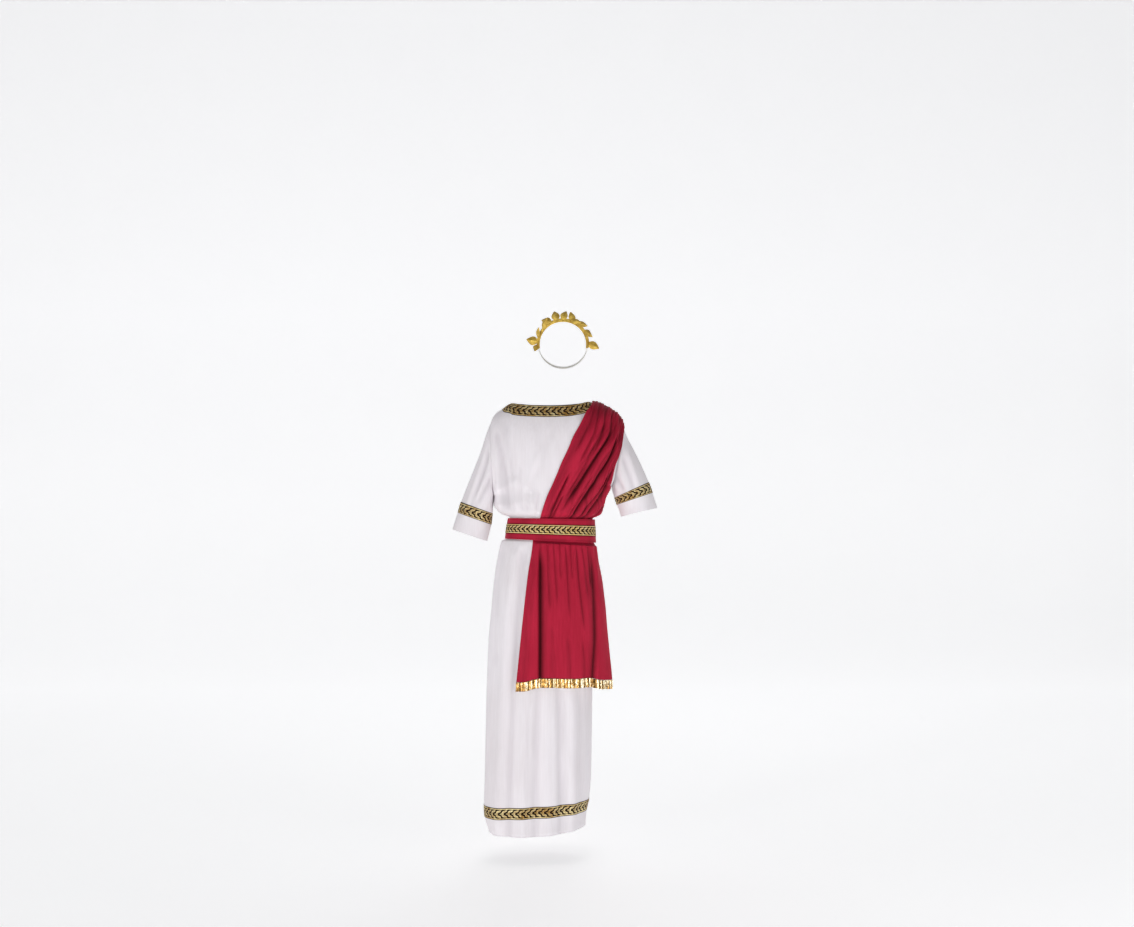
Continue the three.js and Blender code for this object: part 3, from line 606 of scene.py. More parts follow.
def robe_point(side, angle, height):
    """The plain outer face. Across is the sine of the angle, and the section at a row is
    depth times (1 - |across|^2.6) to a power that grows from a half at a closed side seam
    to one beside the armhole, where the armhole's own half-depth is added. Away from the
    armhole that addition starts softly, so that no step crosses the chest."""
    angle, height = np.broadcast_arrays(np.asarray(angle, float), np.asarray(height, float))
    across = np.sin(angle)
    left = ROBE.left(height)
    right = ROBE.right(height)
    x = mix(left, right, (across + 1) / 2)
    top_x = along_top(across)
    underarm = mix(UNDERARM_LEFT, UNDERARM_RIGHT, (across + 1) / 2)
    rise = np.maximum(0, (height - UNDERARM_ROW) / (TOP_ROW - UNDERARM_ROW))
    depth = ROBE.front(height) if side < 0 else ROBE.back(height)
    closing = 0.5 + 0.5 * ease(rise, 0, 0.35)
    bow = np.maximum(0, 1 - np.abs(across) ** SECTION) ** closing
    soften = ease(rise, 0, 0.16 * bow + 1e-6)
    armhole = ARM_DEPTH * 2 * np.sqrt(np.maximum(0, rise * (1 - rise))) * soften
    reach = np.abs((top_x - NECK_MIDDLE) / NECK_HALF)
    neck = NECK_DEPTH[side] * np.maximum(0, 1 - reach**NECK_CURVE) ** (1 / NECK_CURVE)
    near_top = np.minimum(1, ease(rise, 0.45, 1.55) * 2)
    rounding = (1 - near_top**2) ** (0.5 + 0.5 * ease(-reach, -1.02, -0.8))
    out = armhole * (1 - bow) + depth * bow * rounding + neck * (1 - rounding)
    top = TOP_EDGE.front(top_x) if side < 0 else TOP_EDGE.back(top_x)
    lower = ease(height, -380, UNDERARM_ROW)
    below = mix(height, underarm + height - UNDERARM_ROW, lower)
    z = np.where(rise > 0, mix(underarm, top, rise), below)
    from_middle = x - (left + right) / 2
    y = side * (out + SEAM / 2) + ROBE.turn(height) * from_middle
    hem_lift = HEM_LIFT * across**2 * (1 - ease(height, HEM_ROW, BRAID_ROW))
    return np.stack([x, y, z + ROBE.slope(height) * from_middle + hem_lift], -1)


def robe_normal(side, angle, height):
    """Outward direction, from the cross product of two short steps along the face."""
    limit = math.pi / 2
    a = robe_point(side, np.maximum(-limit, angle - 0.03), height)
    b = robe_point(side, np.minimum(limit, angle + 0.03), height)
    low = robe_point(side, angle, np.maximum(HEM_ROW, height - 1.5))
    high = robe_point(side, angle, np.minimum(TOP_ROW, height + 1.5))
    normal = -side * np.cross(b - a, high - low)
    reach = np.abs((along_top(np.sin(angle)) - NECK_MIDDLE) / NECK_HALF)
    at_tip = (height > TOP_ROW - 1) & (reach > 0.999)
    at_seam = (np.abs(angle) > limit - 1e-6) & (height < UNDERARM_ROW + 1)
    normal[..., 1] = np.where(at_tip | at_seam, 0, normal[..., 1])
    return unit(normal)


print("middle of the hem in front, mm:", robe_point(-1, 0, HEM_ROW).round(1).tolist())

# %% [markdown]
# Folds could come from a simulation, but these have to lie where the worn robe shows them,
# so they are placed one by one. Each runs down the cloth through three points and is a soft
# bell across its line: a ridge where its height is positive and a trough where it is
# negative. The large ones stand in the frame's solids too.

# %% Large folds of the robe
def fold(start, middle, end, width, height):
    """One fold: three points of x and z in mm, half its breadth, and its height."""
    return {"x": curve_through([end[1], middle[1], start[1]], [end[0], middle[0], start[0]]),
            "top": start[1], "low": end[1], "width": width, "height": height}


def fold_height(folds, x, z):
    """All folds together: height times exp(-t^2), t being the distance over the width. A
    fold fades at its ends, but not where it runs out at the hem."""
    total = np.zeros(np.broadcast(x, z).shape)
    for row in folds:
        across = (x - row["x"](z)) / row["width"]
        fade = min(40, (row["top"] - row["low"]) / 4)
        start = 1 - ease(z, row["top"] - fade, row["top"])
        end = 1.0 if row["low"] < HEM_ROW + 30 else ease(z, row["low"], row["low"] + fade)
        total = total + row["height"] * np.exp(-across * across) * start * end
    return total


FRONT_FOLDS = [
    fold((-120, -486), (-150, -800), (-178, -1430), 20, 6),
    fold((-92, -486), (-118, -850), (-140, -1440), 14, -6),
    fold((-60, -620), (-84, -1000), (-96, -1440), 20, 6),
    fold((-36, -930), (-48, -1150), (-52, -1445), 15, -6),
    fold((-12, -930), (-10, -1180), (-6, -1445), 20, 6),
    fold((30, -930), (34, -1200), (38, -1445), 15, -6),
    fold((70, -930), (74, -1200), (74, -1445), 18, 5),
    fold((-190, -90), (-170, -210), (-152, -390), 13, -7.5),
    fold((-120, -240), (-116, -320), (-110, -398), 12, 5),
    fold((-84, -290), (-82, -340), (-80, -398), 10, -4),
    fold((-52, -300), (-56, -350), (-58, -398), 10, 4),
]

BACK_FOLDS = [
    fold((-110, -486), (-140, -850), (-170, -1430), 20, 6),
    fold((-70, -486), (-96, -900), (-120, -1440), 16, -6),
    fold((-30, -486), (-52, -900), (-66, -1440), 20, 7),
    fold((6, -520), (-10, -900), (-18, -1440), 16, -6),
    fold((44, -486), (36, -950), (30, -1440), 20, 6),
    fold((84, -500), (84, -950), (78, -1440), 16, -5),
    fold((-120, -220), (-112, -320), (-100, -398), 13, 6),
    fold((-60, -180), (-58, -300), (-52, -398), 13, -5),
    fold((0, -170), (0, -300), (0, -398), 15, 6),
    fold((60, -180), (62, -300), (58, -398), 13, -5),
    fold((124, -220), (120, -320), (108, -398), 13, 6),
]
print("large folds, front and back:", len(FRONT_FOLDS), len(BACK_FOLDS))

# %% [markdown]
# Between the large folds lie small creases: the gathers over and under the belt and the
# slack of the skirt, uneven in length, depth and spacing. The frame's solids are plain
# there, because a faceted solid can't carry so fine a relief.

# %% Small creases of the robe
FRONT_CREASES = [
    fold((-160, -486), (-176, -640), (-186, -900), 9, -2.2),
    fold((-140, -486), (-146, -560), (-150, -700), 7, -2.0),
    fold((-108, -486), (-112, -570), (-118, -660), 6, 1.6),
    fold((-80, -486), (-84, -560), (-88, -640), 6, -1.8),
    fold((-170, -820), (-182, -1050), (-190, -1300), 11, -2.4),
    fold((-112, -900), (-118, -1150), (-120, -1330), 10, 2.2),
    fold((-70, -1000), (-72, -1200), (-74, -1440), 9, -2.2),
    fold((10, -960), (14, -1150), (16, -1400), 9, 2.0),
    fold((52, -980), (56, -1180), (58, -1440), 9, -2.0),
    fold((96, -960), (98, -1160), (92, -1440), 10, -2.4),
    fold((-186, -130), (-182, -240), (-176, -386), 6, 3.0),
    fold((-172, -150), (-150, -280), (-138, -396), 8, -4.2),
    fold((-140, -180), (-128, -300), (-124, -398), 7, -3.4),
    fold((-104, -210), (-100, -320), (-96, -398), 6, -3.6),
    fold((-70, -280), (-70, -350), (-70, -398), 5, 2.4),
    fold((-36, -300), (-42, -350), (-46, -398), 5, -3.0),
    fold((-30, -160), (-70, -260), (-96, -370), 14, 3.0),
    fold((-150, -60), (-152, -130), (-140, -220), 12, -3.2),
    fold((20, -80), (-20, -170), (-50, -280), 16, -2.6),
]

BACK_CREASES = [
    fold((-150, -486), (-166, -700), (-184, -1000), 9, -2.4),
    fold((-90, -486), (-100, -620), (-108, -800), 8, 2.0),
    fold((-48, -486), (-58, -600), (-66, -780), 7, -2.2),
    fold((-10, -486), (-14, -580), (-20, -700), 7, 2.0),
    fold((24, -486), (24, -620), (20, -860), 8, -2.4),
    fold((64, -486), (66, -600), (66, -760), 7, 2.0),
    fold((110, -486), (116, -700), (112, -1000), 9, -2.4),
    fold((-150, -160), (-142, -280), (-130, -398), 8, -3.0),
    fold((-88, -230), (-84, -320), (-80, -398), 6, 2.6),
    fold((-30, -240), (-28, -320), (-26, -398), 6, -2.6),
    fold((30, -250), (32, -330), (30, -398), 6, -2.6),
    fold((90, -230), (92, -320), (86, -398), 6, 2.6),
    fold((160, -200), (154, -300), (134, -398), 8, -3.0),
    fold((-60, -900), (-70, -1150), (-76, -1430), 10, -2.4),
    fold((56, -900), (56, -1150), (52, -1430), 10, -2.2),
]
print("small creases, front and back:", len(FRONT_CREASES), len(BACK_CREASES))

# %% [markdown]
# No worn cloth is quite smooth between its folds, so a few slow waves are added to the
# face. Folds and waves move a point along the face's own outward direction.

# %% The folded face
def waviness(x, z, seed, size, height):
    """A seeded sum of six slow sine waves, each with its own spacing, slant and start."""
    rng = np.random.default_rng(seed)
    total = np.zeros(np.broadcast(x, z).shape)
    for _ in range(6):
        across, along = rng.uniform(0.5, 1.3, 2) * 2 * math.pi / size
        phase = rng.uniform(0, 2 * math.pi)
        total = total + np.sin(x * across + z * along * 0.35 * rng.choice([-1, 1]) + phase)
    return total * height / 6


def robe_face(side, angle, height):
    """The robe's outer face with its folds, which die away at the side seams. It gives the
    points, their outward directions and how far each was lifted."""
    point = robe_point(side, angle, height)
    normal = robe_normal(side, angle, height)
    x, z = point[..., 0], point[..., 2]
    folds = FRONT_FOLDS + FRONT_CREASES if side < 0 else BACK_FOLDS + BACK_CREASES
    inside = 1 - ease(np.abs(np.sin(angle)), 0.9, 1)
    skirt = 1 - ease(z, -494, -478)
    bodice = ease(z, -398, -380) * (1 - ease(z, -90, -40))
    lift = fold_height(folds, x, z) + waviness(x, z, 5 + side, 70, 1.6) * (skirt + bodice)
    return point + normal * (lift * inside)[..., None], normal, lift * inside


lifts = robe_face(-1, np.linspace(-1, 1, 60), -700)[2]
print("folds at the thigh reach from", lifts.min().round(1), "to", lifts.max().round(1), "mm")

# %% [markdown]
# The two panels are sampled on a fine grid. An even grid would waste points on the plain
# skirt, so the rows crowd together at the belt, where the bodice blouses over it, and at
# the shoulder ridge, and a column stands exactly at each corner of the neck.

# %% Robe panels
CLOTH_WALL = 1.2  # a hemmed knit, in mm
# painted shade: a valley this deep would get the full painted shade
ROBE_SHADE_DEPTH = 28  # the depth in mm at which a valley would be painted fully dark


def upper_rows(count):
    """Row heights from the underarm to the top, closer together at both ends."""
    return mix(UNDERARM_ROW, TOP_ROW, (1 - np.cos(np.linspace(0, math.pi, count))) / 2)


ROBE_ROWS = np.concatenate([
    np.linspace(HEM_ROW, -500, 88, endpoint=False),
    np.linspace(-500, -360, 44, endpoint=False),
    np.linspace(-360, UNDERARM_ROW, 9, endpoint=False),
    upper_rows(46),
])


def neck_angles(count):
    """Angles across the top: evenly spaced outside the neck, and closer at its corners."""
    start = math.asin((NECK_MIDDLE - NECK_HALF - TOP_MIDDLE) / TOP_HALF)
    stop = math.asin((NECK_MIDDLE + NECK_HALF - TOP_MIDDLE) / TOP_HALF)
    s = np.linspace(-1, 1, count)
    neck = mix(start, stop, 0.5 + 0.5 * (0.55 * s + 0.45 * np.sin(math.pi / 2 * s)))
    left = np.linspace(-math.pi / 2, start, count // 4, endpoint=False)
    right = np.linspace(math.pi / 2, stop, count // 3, endpoint=False)[::-1]
    return np.concatenate([left, neck, right])


ROBE_ANGLES = neck_angles(96)


def robe_panel(name, side):
    """The folded face over the whole grid, with painted shade in its deeper folds."""
    angle, height = np.meshgrid(ROBE_ANGLES, ROBE_ROWS)
    points, _, lift = robe_face(side, angle, height)
    piece = make_sheet(name + "_cloth", points, (0, side, 0), wall=CLOTH_WALL)
    # painted shade in the troughs of the folds, at most 0.22 of the way to the shade colour
    paint(piece, "shade_stitch_wear", np.clip(-lift / ROBE_SHADE_DEPTH, 0, 0.22))
    settle(piece, name, WHITE_KNIT)
    return piece


robe_front = robe_panel("robe_front", -1)
robe_back = robe_panel("robe_back", 1)
print("quads in the robe panels:", len(robe_front.data.polygons), len(robe_back.data.polygons))

# %% [markdown]
# A sleeve is a short, wide tube. A cylinder bent into place would not meet the armhole, so
# its first ring follows the armhole edges of both panels. The others stand on lines from an
# outer to an inner point, measured from the front, and smooth curves join the rings.

# %% Form of the sleeves
# outer x and z, inner x and z, and half the depth of each ring, from shoulder to cuff
SLEEVES = {
    "sleeve_right": [
        [-221, -113, -195.5, -340, 64],
        [-243, -182, -196.5, -352, 65],
        [-272, -255, -197.5, -366, 65],
        [-306, -343, -199, -382, 63],
        [-317, -379, -203, -420, 61],
        [-327, -408, -210, -448, 59],
        [-336, -436, -218, -476, 58],
    ],
    "sleeve_left": [
        [261, -127, 207, -300, 64],
        [284, -171, 209, -310, 65],
        [308, -221, 212, -319, 65],
        [332, -276, 215, -329, 63],
        [345, -312, 223, -353, 61],
        [352, -337, 230, -372, 59],
        [360, -364, 236, -394, 58],
    ],
}


def armhole_edge(outward, around):
    """Points of the armhole: down the front from the tip (0) to the underarm (pi), then up."""
    front = around <= math.pi
    down = np.where(front, around, 2 * math.pi - around)
    height = mix(UNDERARM_ROW, TOP_ROW, (1 + np.cos(down)) / 2)
    angle = np.full_like(height, outward * math.pi / 2)
    points = np.where(front[:, None], robe_point(-1, angle, height), robe_point(1, angle, height))
    points[(down < 1e-6) | (down > math.pi - 1e-6), 1] = 0
    return points + np.array([outward * SEAM, 0, -SEAM / 4])


def curve_columns(values, at):
    """A smooth curve (Catmull-Rom) through rows of many values at once, read at row numbers."""
    keys = np.arange(len(values))
    tangents = np.gradient(values, keys, axis=0)
    piece = np.clip(np.searchsorted(keys, at, side="right") - 1, 0, len(keys) - 2)
    part = (at - keys[piece])[:, None]
    rest = 1 - part
    return (values[piece] * (1 + 2 * part) * rest**2 + tangents[piece] * part * rest**2
            + values[piece + 1] * part**2 * (3 - 2 * part)
            - tangents[piece + 1] * part**2 * rest)


def sleeve_grid(name, outward, rows, around):
    """Rings at fractional row numbers: 0 is the armhole, and 7 is the cuff."""
    part = (1 + np.cos(around)) / 2
    stations = [armhole_edge(outward, around)]
    for outer_x, outer_z, inner_x, inner_z, depth in SLEEVES[name]:
        x = mix(inner_x, float(outer_x), part)
        z = mix(inner_z, float(outer_z), part)
        stations.append(np.stack([x, -depth * np.sin(around), z], -1))
    flat = np.array(stations).reshape(len(stations), -1)
    return curve_columns(flat, rows).reshape(len(rows), len(around), 3)


AROUND = np.linspace(0, 2 * math.pi, 96, endpoint=False)
CUFF_ROW = len(SLEEVES["sleeve_right"])
for sleeve, outward in (("sleeve_right", -1), ("sleeve_left", 1)):
    cuff = sleeve_grid(sleeve, outward, np.array([CUFF_ROW - 1.0, CUFF_ROW]), AROUND)[1]
    print(sleeve, "lowest point of the cuff, mm:", round(float(cuff[:, 2].min())))

# %% [markdown]
# Creases run down a sleeve from the shoulder and fan out from the underarm, where the cloth
# is crushed. They could be drawn as lines in space, like the robe's folds, but then they
# would leave the tube where it turns. So each stands at an angle round the sleeve and
# drifts a little from ring to ring, with the same bell across it.

# %% Creases of the sleeves
SLEEVE_CREASES = {
    # around, its drift per ring, first and last ring, half width, height
    "sleeve_right": [
        [1.25, 0.02, 0.2, 5.2, 0.16, -4.5],
        [1.75, -0.10, 0.3, 4.4, 0.13, 3.4],
        [2.15, -0.14, 0.2, 4.2, 0.14, -4.0],
        [0.75, 0.06, 0.6, 5.6, 0.16, 3.0],
        [2.6, -0.12, 0.4, 4.0, 0.15, 3.0],
        [4.0, 0.10, 0.2, 4.6, 0.15, -4.0],
        [4.6, 0.04, 0.3, 5.4, 0.16, 3.5],
        [5.2, -0.02, 0.4, 5.0, 0.15, -3.2],
    ],
    "sleeve_left": [
        [1.3, 0.05, 0.6, 4.6, 0.15, -3.6],
        [1.8, 0.02, 0.4, 5.4, 0.14, 3.2],
        [2.25, -0.06, 0.3, 4.0, 0.14, -4.2],
        [0.8, 0.10, 1.0, 4.8, 0.16, 3.0],
        [2.7, -0.10, 0.4, 3.8, 0.13, 2.6],
        [4.1, 0.08, 0.2, 4.4, 0.15, -4.0],
        [4.7, 0.02, 0.3, 5.2, 0.16, 3.2],
        [5.3, -0.04, 0.5, 5.0, 0.15, -3.0],
    ],
}


def grid_normals(points):
    """Directions across a closed grid, from the neighbours of each point."""
    across = np.roll(points, -1, axis=1) - np.roll(points, 1, axis=1)
    return unit(np.cross(across, np.gradient(points, axis=0)))


def sleeve_face(name, outward, rows, around):
    """The sleeve's outer face with creases that start and end softly between rings, and a
    slight ripple of five waves towards the cuff."""
    points = sleeve_grid(name, outward, rows, around)
    normals = grid_normals(points)
    middle = points.mean(axis=1, keepdims=True)
    normals *= np.sign(np.sum(normals * (points - middle), axis=-1).mean())
    ring, turn = rows[:, None], around[None, :]
    lift = np.zeros(points.shape[:2])
    for start, drift, first, last, width, height in SLEEVE_CREASES[name]:
        gap = (turn - start - drift * ring) / width
        span = ease(ring, first, first + 0.9) * (1 - ease(ring, last - 1.0, last))
        lift += height * np.exp(-gap * gap) * span
    ripple = 1.2 * np.sin(5 * turn + 1.3 * outward) * ease(ring, 5, CUFF_ROW)
    return points + normals * (lift + ripple)[..., None], normals, lift


print("creases on a sleeve:", len(SLEEVE_CREASES["sleeve_right"]))

# %% [markdown]
# Each sleeve becomes a closed sheet, with painted shade in its creases and a line of painted
# shade along its armhole seam, where the cloth turns in. Its ribbon is sewn on flat, so it is
# the same face between two rings, moved out by a hair.

# %% Sleeves and their ribbons
BRAID_RINGS = (4, 5)  # the ribbon's upper and lower edge lie on these rings
BRAID_LIFT = 1.1  # how far a ribbon's face stands off the cloth's, in mm
BRAID_WALL = 0.7


def make_sleeve(name, outward):
    """A sleeve's sheet from its face, and its ribbon from the same face between two rings."""
    rows = np.linspace(0, CUFF_ROW, 85)
    points, normals, lift = sleeve_face(name, outward, rows, AROUND)
    piece = make_sheet(name + "_cloth", points, normals[42, 48], closed=True, wall=CLOTH_WALL)
    # painted shade in the creases' troughs, and a line of painted shade along the armhole seam
    seam_shade = 0.4 * np.exp(-(rows[:, None] / 0.1) ** 2)
    paint(piece, "shade_stitch_wear", np.clip(-lift / 12, 0, 0.4) + seam_shade)
    settle(piece, name, WHITE_KNIT)
    rows = np.linspace(*BRAID_RINGS, 9)
    points, normals, _ = sleeve_face(name, outward, rows, AROUND)
    braid = make_sheet(name + "_braid_cloth", points + normals * BRAID_LIFT, normals[4, 48],
                       closed=True, wall=BRAID_WALL, uv=ribbon_uv(points, RIBBON))
    settle(braid, name + "_braid", LAUREL)


make_sleeve("sleeve_right", -1)
make_sleeve("sleeve_left", 1)

# %% [markdown]
# The ribbons at hem and neck are sewn flat on the robe too, so they are made from its own
# face. The neck ribbon's lower edge starts further out on the shoulder than its upper edge,
# so that each end lies along the shoulder ridge.


def robe_ribbon(name, side, points, face):
    """A sheet of ribbon from its points, with the weave measured along the given face."""
    piece = make_sheet(name + "_cloth", points, (0, side, 0), wall=BRAID_WALL,
                       uv=ribbon_uv(face, RIBBON))
    settle(piece, name, LAUREL)


def hem_braid(name, side):
    """Rows of the robe's face from the ribbon's lower edge to its upper edge."""
    rows = np.linspace(BRAID_ROW, BRAID_ROW + RIBBON, 9)
    angle, height = np.meshgrid(ROBE_ANGLES, rows)
    points, normals, _ = robe_face(side, angle, height)
    robe_ribbon(name, side, points + normals * BRAID_LIFT, points)


def neck_braid(name, side):
    """Columns spread towards the corners by a sine. Going down the ribbon, its half-length
    grows, and its row drops by its width, less at the two ends."""
    s, down = np.meshgrid(np.linspace(-1, 1, 121), np.linspace(0, 1, 13))
    spread = 0.15 * s + 0.85 * np.sin(math.pi / 2 * s)
    ends = np.sqrt(np.maximum(0, 1 - spread**2))
    x = NECK_MIDDLE + (NECK_HALF + RIBBON * 0.75 * down) * spread
    angle = np.arcsin(np.clip((x - TOP_MIDDLE) / TOP_HALF, -1, 1))
    height = TOP_ROW - RIBBON * 1.06 * down * np.minimum(1, ends * 1.6)
    points = robe_point(side, angle, height) + robe_normal(side, angle, height) * 1.6
    points[:, [0, -1], 1] = side * SEAM
    robe_ribbon(name, side, points, points)


hem_braid("hem_braid_front", -1)
hem_braid("hem_braid_back", 1)
neck_braid("neck_braid_front", -1)
neck_braid("neck_braid_back", 1)

# %% [markdown]
# The sash is gathered tightly into the left shoulder seam and fans out over the chest to
# the belt. Its look comes from a few long creases that sweep down and across. A bell would
# look like soft clay here: a real crease has a sharp bottom and round shoulders. So the
# power in it is 1.4 instead of 2, and each crease follows a line of measured points.

# %% Creases of a gathered cloth
def crease(points, width, depth, lean=0.0):
    """A crease through points (x, z) from its top down, half its breadth, depth and lean."""
    zs = [z for _, z in points][::-1]
    xs = [x for x, _ in points][::-1]
    return {"x": curve_through(zs, xs), "top": zs[-1], "low": zs[0], "width": width,
            "depth": depth, "lean": lean}


def crease_depth(creases, x, z, low_end):
    """Depth times exp(-|t|^1.4). T is the distance over the width, which grows from the top
    down and is wider on the leaning side. One that ends at low_end or below stays deep, and
    all are shallower near the shoulder, where the cloth is gathered."""
    total = np.zeros(np.broadcast(x, z).shape)
    for row in creases:
        away = x - row["x"](z)
        width = row["width"] * (0.45 + 0.4 * ease(row["top"] - z, 0, 170))
        across = away / (width * (1 + row["lean"] * np.tanh(away / width)))
        fade = (row["top"] - row["low"]) * 0.22
        start = 1 - ease(z, row["top"] - fade, row["top"])
        end = 1.0 if row["low"] <= low_end else ease(z, row["low"], row["low"] + fade)
        total = total + row["depth"] * np.exp(-np.abs(across) ** 1.4) * start * end
    return total * (0.62 + 0.38 * ease(-z, 60, 170))


def fine_creases(along, rise, seed, count):
    """Thin creases on lines that fan out downwards: v is along to the power 1 / (1 - 0.7 rise),
    and each crease is a narrow dip at its own v, between its own two heights."""
    rng = np.random.default_rng(seed)
    v = along ** (1 / (1 - 0.7 * rise))
    total = np.zeros(v.shape)
    for number in range(count):
        middle = (number + rng.uniform(0.15, 0.85)) / count
        width = rng.uniform(0.008, 0.014) * (1 + 1.4 * rise)
        low, high = sorted(rng.uniform(-0.25, 1.25, 2))
        span = ease(rise, low, low + 0.15) * (1 - ease(rise, high + 0.1, high + 0.25))
        total = total + rng.uniform(0.7, 2.2) * np.exp(-np.abs((v - middle) / width) ** 1.4) * span
    return total


straight = [crease([(0, 0), (0, -400)], 6, 10.0)]
dips = crease_depth(straight, np.array([0, 3, 6]), -200, -400).round(1)
print("a crease 10 mm deep, at its line and 3 and 6 mm beside it:", dips.tolist())

# %% [markdown]
# Two short tables hold the sash's slanting edge and how far round the robe it reaches. The
# creases follow. The few deep ones carry the look, and the small ones stand between them.

# %% Lines of the upper sash
SASH_EDGE = Table(
    ["z", "x"],
    [
        [-440, -46],
        [-396, -35],
        [-354, -22],
        [-319, -9],
        [-289, 5],
        [-254, 20],
        [-210, 38],
        [-175, 55],
        [-125, 76],
        [-84, 99],
        [-42, 121],
        [-4, 141],
    ],
)
SASH_SIDE = Table(
    ["height", "angle"],
    [
        [-440, 1.57],
        [-362, 1.57],
        [-330, 1.34],
        [-290, 1.22],
        [-220, 1.28],
        [-150, 1.48],
        [-100, 1.57],
    ],
)

SASH_CREASES = [
    crease([(208, 10), (199, -100), (151, -190), (95, -280), (22, -392)], 7.5, 12.5, 0.35),
    crease([(192, 10), (172, -100), (136, -170), (104, -236), (24, -372)], 6, 6.0, 0.3),
    crease([(226, -96), (199, -180), (149, -266), (96, -346), (62, -402)], 7, 12.0, 0.35),
    crease([(216, -200), (176, -290), (138, -350), (98, -404)], 6.5, 11.0, 0.3),
    crease([(206, -286), (176, -340), (142, -382), (122, -406)], 5.5, 9.0, 0.3),
    crease([(196, -236), (160, -300), (120, -352), (84, -404)], 5.5, 7.0, 0.2),
    crease([(66, -240), (38, -300), (14, -352), (-8, -402)], 6, 9.5, 0.3),
    crease([(44, -318), (26, -352), (0, -404)], 5, 6.5, 0.2),
    crease([(112, -300), (84, -346), (46, -404)], 5, 6.0, 0.2),
    crease([(165, 10), (148, -100), (124, -156), (84, -232)], 6, 6.5, 0.2),
    crease([(152, 10), (134, -70), (112, -118), (76, -190)], 5, 4.5, 0.2),
    crease([(226, 10), (229, -90), (222, -165)], 5, 4.5, -0.2),
    crease([(181, 10), (176, -90), (156, -148), (124, -210)], 5, 5.0, 0.2),
    crease([(236, -40), (234, -125), (216, -215)], 5, 4.0, -0.2),
    crease([(216, 10), (215, -65), (204, -145)], 4.5, 4.0, 0.0),
    crease([(176, -350), (152, -384), (138, -406)], 4, 5.0, 0.0),
    crease([(186, -350), (172, -378), (158, -406)], 4, 4.5, 0.0),
    crease([(124, -210), (96, -262), (60, -326)], 6, 3.0, 0.0),
    crease([(208, -226), (184, -262), (160, -300)], 5, 3.0, 0.0),
    crease([(140, -250), (112, -292), (76, -350)], 5, 2.5, 0.0),
    crease([(30, -250), (8, -300), (-14, -352)], 6, 2.5, 0.0),
]
print("creases on the upper sash:", len(SASH_CREASES))

# %% [markdown]
# The sash lies on the robe, so it starts as the robe's plain face and is moved outwards: a
# clearance everywhere, then a swell of loose cloth with the creases cut into it, and small
# pleats at the shoulder seam and over the belt.

# %% Upper sash
SASH_WALL = 1.0


def sash_angle(height):
    """The angle at which each row meets the sash's slanting edge, found in six steps."""
    angle = np.zeros_like(height)
    for _ in range(6):
        z = robe_point(-1, angle, height)[..., 2]
        x = SASH_EDGE.x(z)
        left = ROBE.left(height)
        right = ROBE.right(height)
        angle = np.arcsin(np.clip(2 * (x - left) / (right - left) - 1, -1, 1))
    return angle


def upper_sash():
    """The robe's face moved out by clear + max(0, swell - dips + ripple) + pleats + puckers.
    What follows the clearance fades towards the sash's two edges and under the belt."""
    rows = np.concatenate([
        np.linspace(-436, -404, 8, endpoint=False),
        np.linspace(-404, -362, 24, endpoint=False),
        np.linspace(-362, UNDERARM_ROW, 18, endpoint=False),
        upper_rows(100),
    ])
    along, height = np.meshgrid(np.linspace(0, 1, 171), rows)
    start = sash_angle(rows)[:, None]
    angle = mix(start, SASH_SIDE.angle(height), along)
    point = robe_point(-1, angle, height)
    normal = robe_normal(-1, angle, height)
    x, z = point[..., 0], point[..., 2]
    open_cloth = ease(height, -401, -386)
    gathered = ease(height, -130, -8)
    near_neck = ease(height, -90, -55) * (1 - ease(x, 165, 200))
    by_sleeve = 3 * ease(along, 0.8, 1) * ease(height, -340, -300) * (1 - ease(height, -220, -150))
    clear = 0.9 + 1.8 * open_cloth + 4.6 * near_neck + by_sleeve
    edge = np.minimum(1, np.minimum(along * 14, (1 - along) * 7))
    swell = 13 * ease(height, -399, -374) * (1 - ease(height, -150, -20)) + 3.4 * gathered
    main_dips = crease_depth(SASH_CREASES, x, z, -400)
    fine_dips = fine_creases(along, np.clip((height + 440) / 440, 0, 1), 8, 34)
    dips = main_dips + fine_dips
    pleats = 0.9 * gathered * (1 + np.sin(along * math.pi * 2 * 15 + 1 + 1.2 * np.sin(along * 5)))
    puckers = 1.2 * ease(-height, 345, 392) * (1 + np.sin(along * 62 + 1.5 * np.sin(9 * along)))
    ripple = waviness(x, z, 31, 34, 0.8)
    lift = np.maximum(0, swell - dips + ripple) + pleats + puckers
    lift = clear + lift * open_cloth * (0.12 + 0.88 * edge)
    points = point + normal * lift[..., None]
    piece = make_sheet("sash_upper_cloth", points, (0, -1, 0), wall=SASH_WALL)
    # painted shade in the creases, fading out towards the sash's edges
    paint(piece, "shade_stitch_wear", np.clip(main_dips / 11 + fine_dips / 5, 0, 1) * edge)
    settle(piece, "sash_upper", WINE_KNIT)
    return piece


sash_top = upper_sash()
print("quads in the upper sash:", len(sash_top.data.polygons))

# %% [markdown]
# Below the belt the other length hangs over the skirt. It is gathered under the belt, two
# deep folds run its whole length, and its left side, as worn, swings out as a free flap.
# It starts as the skirt's plain face in the same way, and the swing is added to it.

# %% Form of the lower sash
PANEL_EDGE = Table(
    ["height", "x"],
    [[-934, -113], [-750, -94], [-584, -75], [-484, -60], [-444, -58]],
)
BELT_EDGE = -478  # the row at which the sash comes out from under the belt
PANEL_LOW = -934  # the row of its lower edge
FLAP_X = 48  # how far the corner of the flap swings to the side
FLAP_Y = -42  # and to the front
STAND = 9  # how far the other side is moved to the front

# how far the lower edge stands above (or below) a level line, across the sash
PANEL_DROP = curve_through([0, 0.08, 0.18, 0.3, 0.5, 0.66, 0.8, 1], [-5, -3, 7, 9, 6, 7, -3, -7])

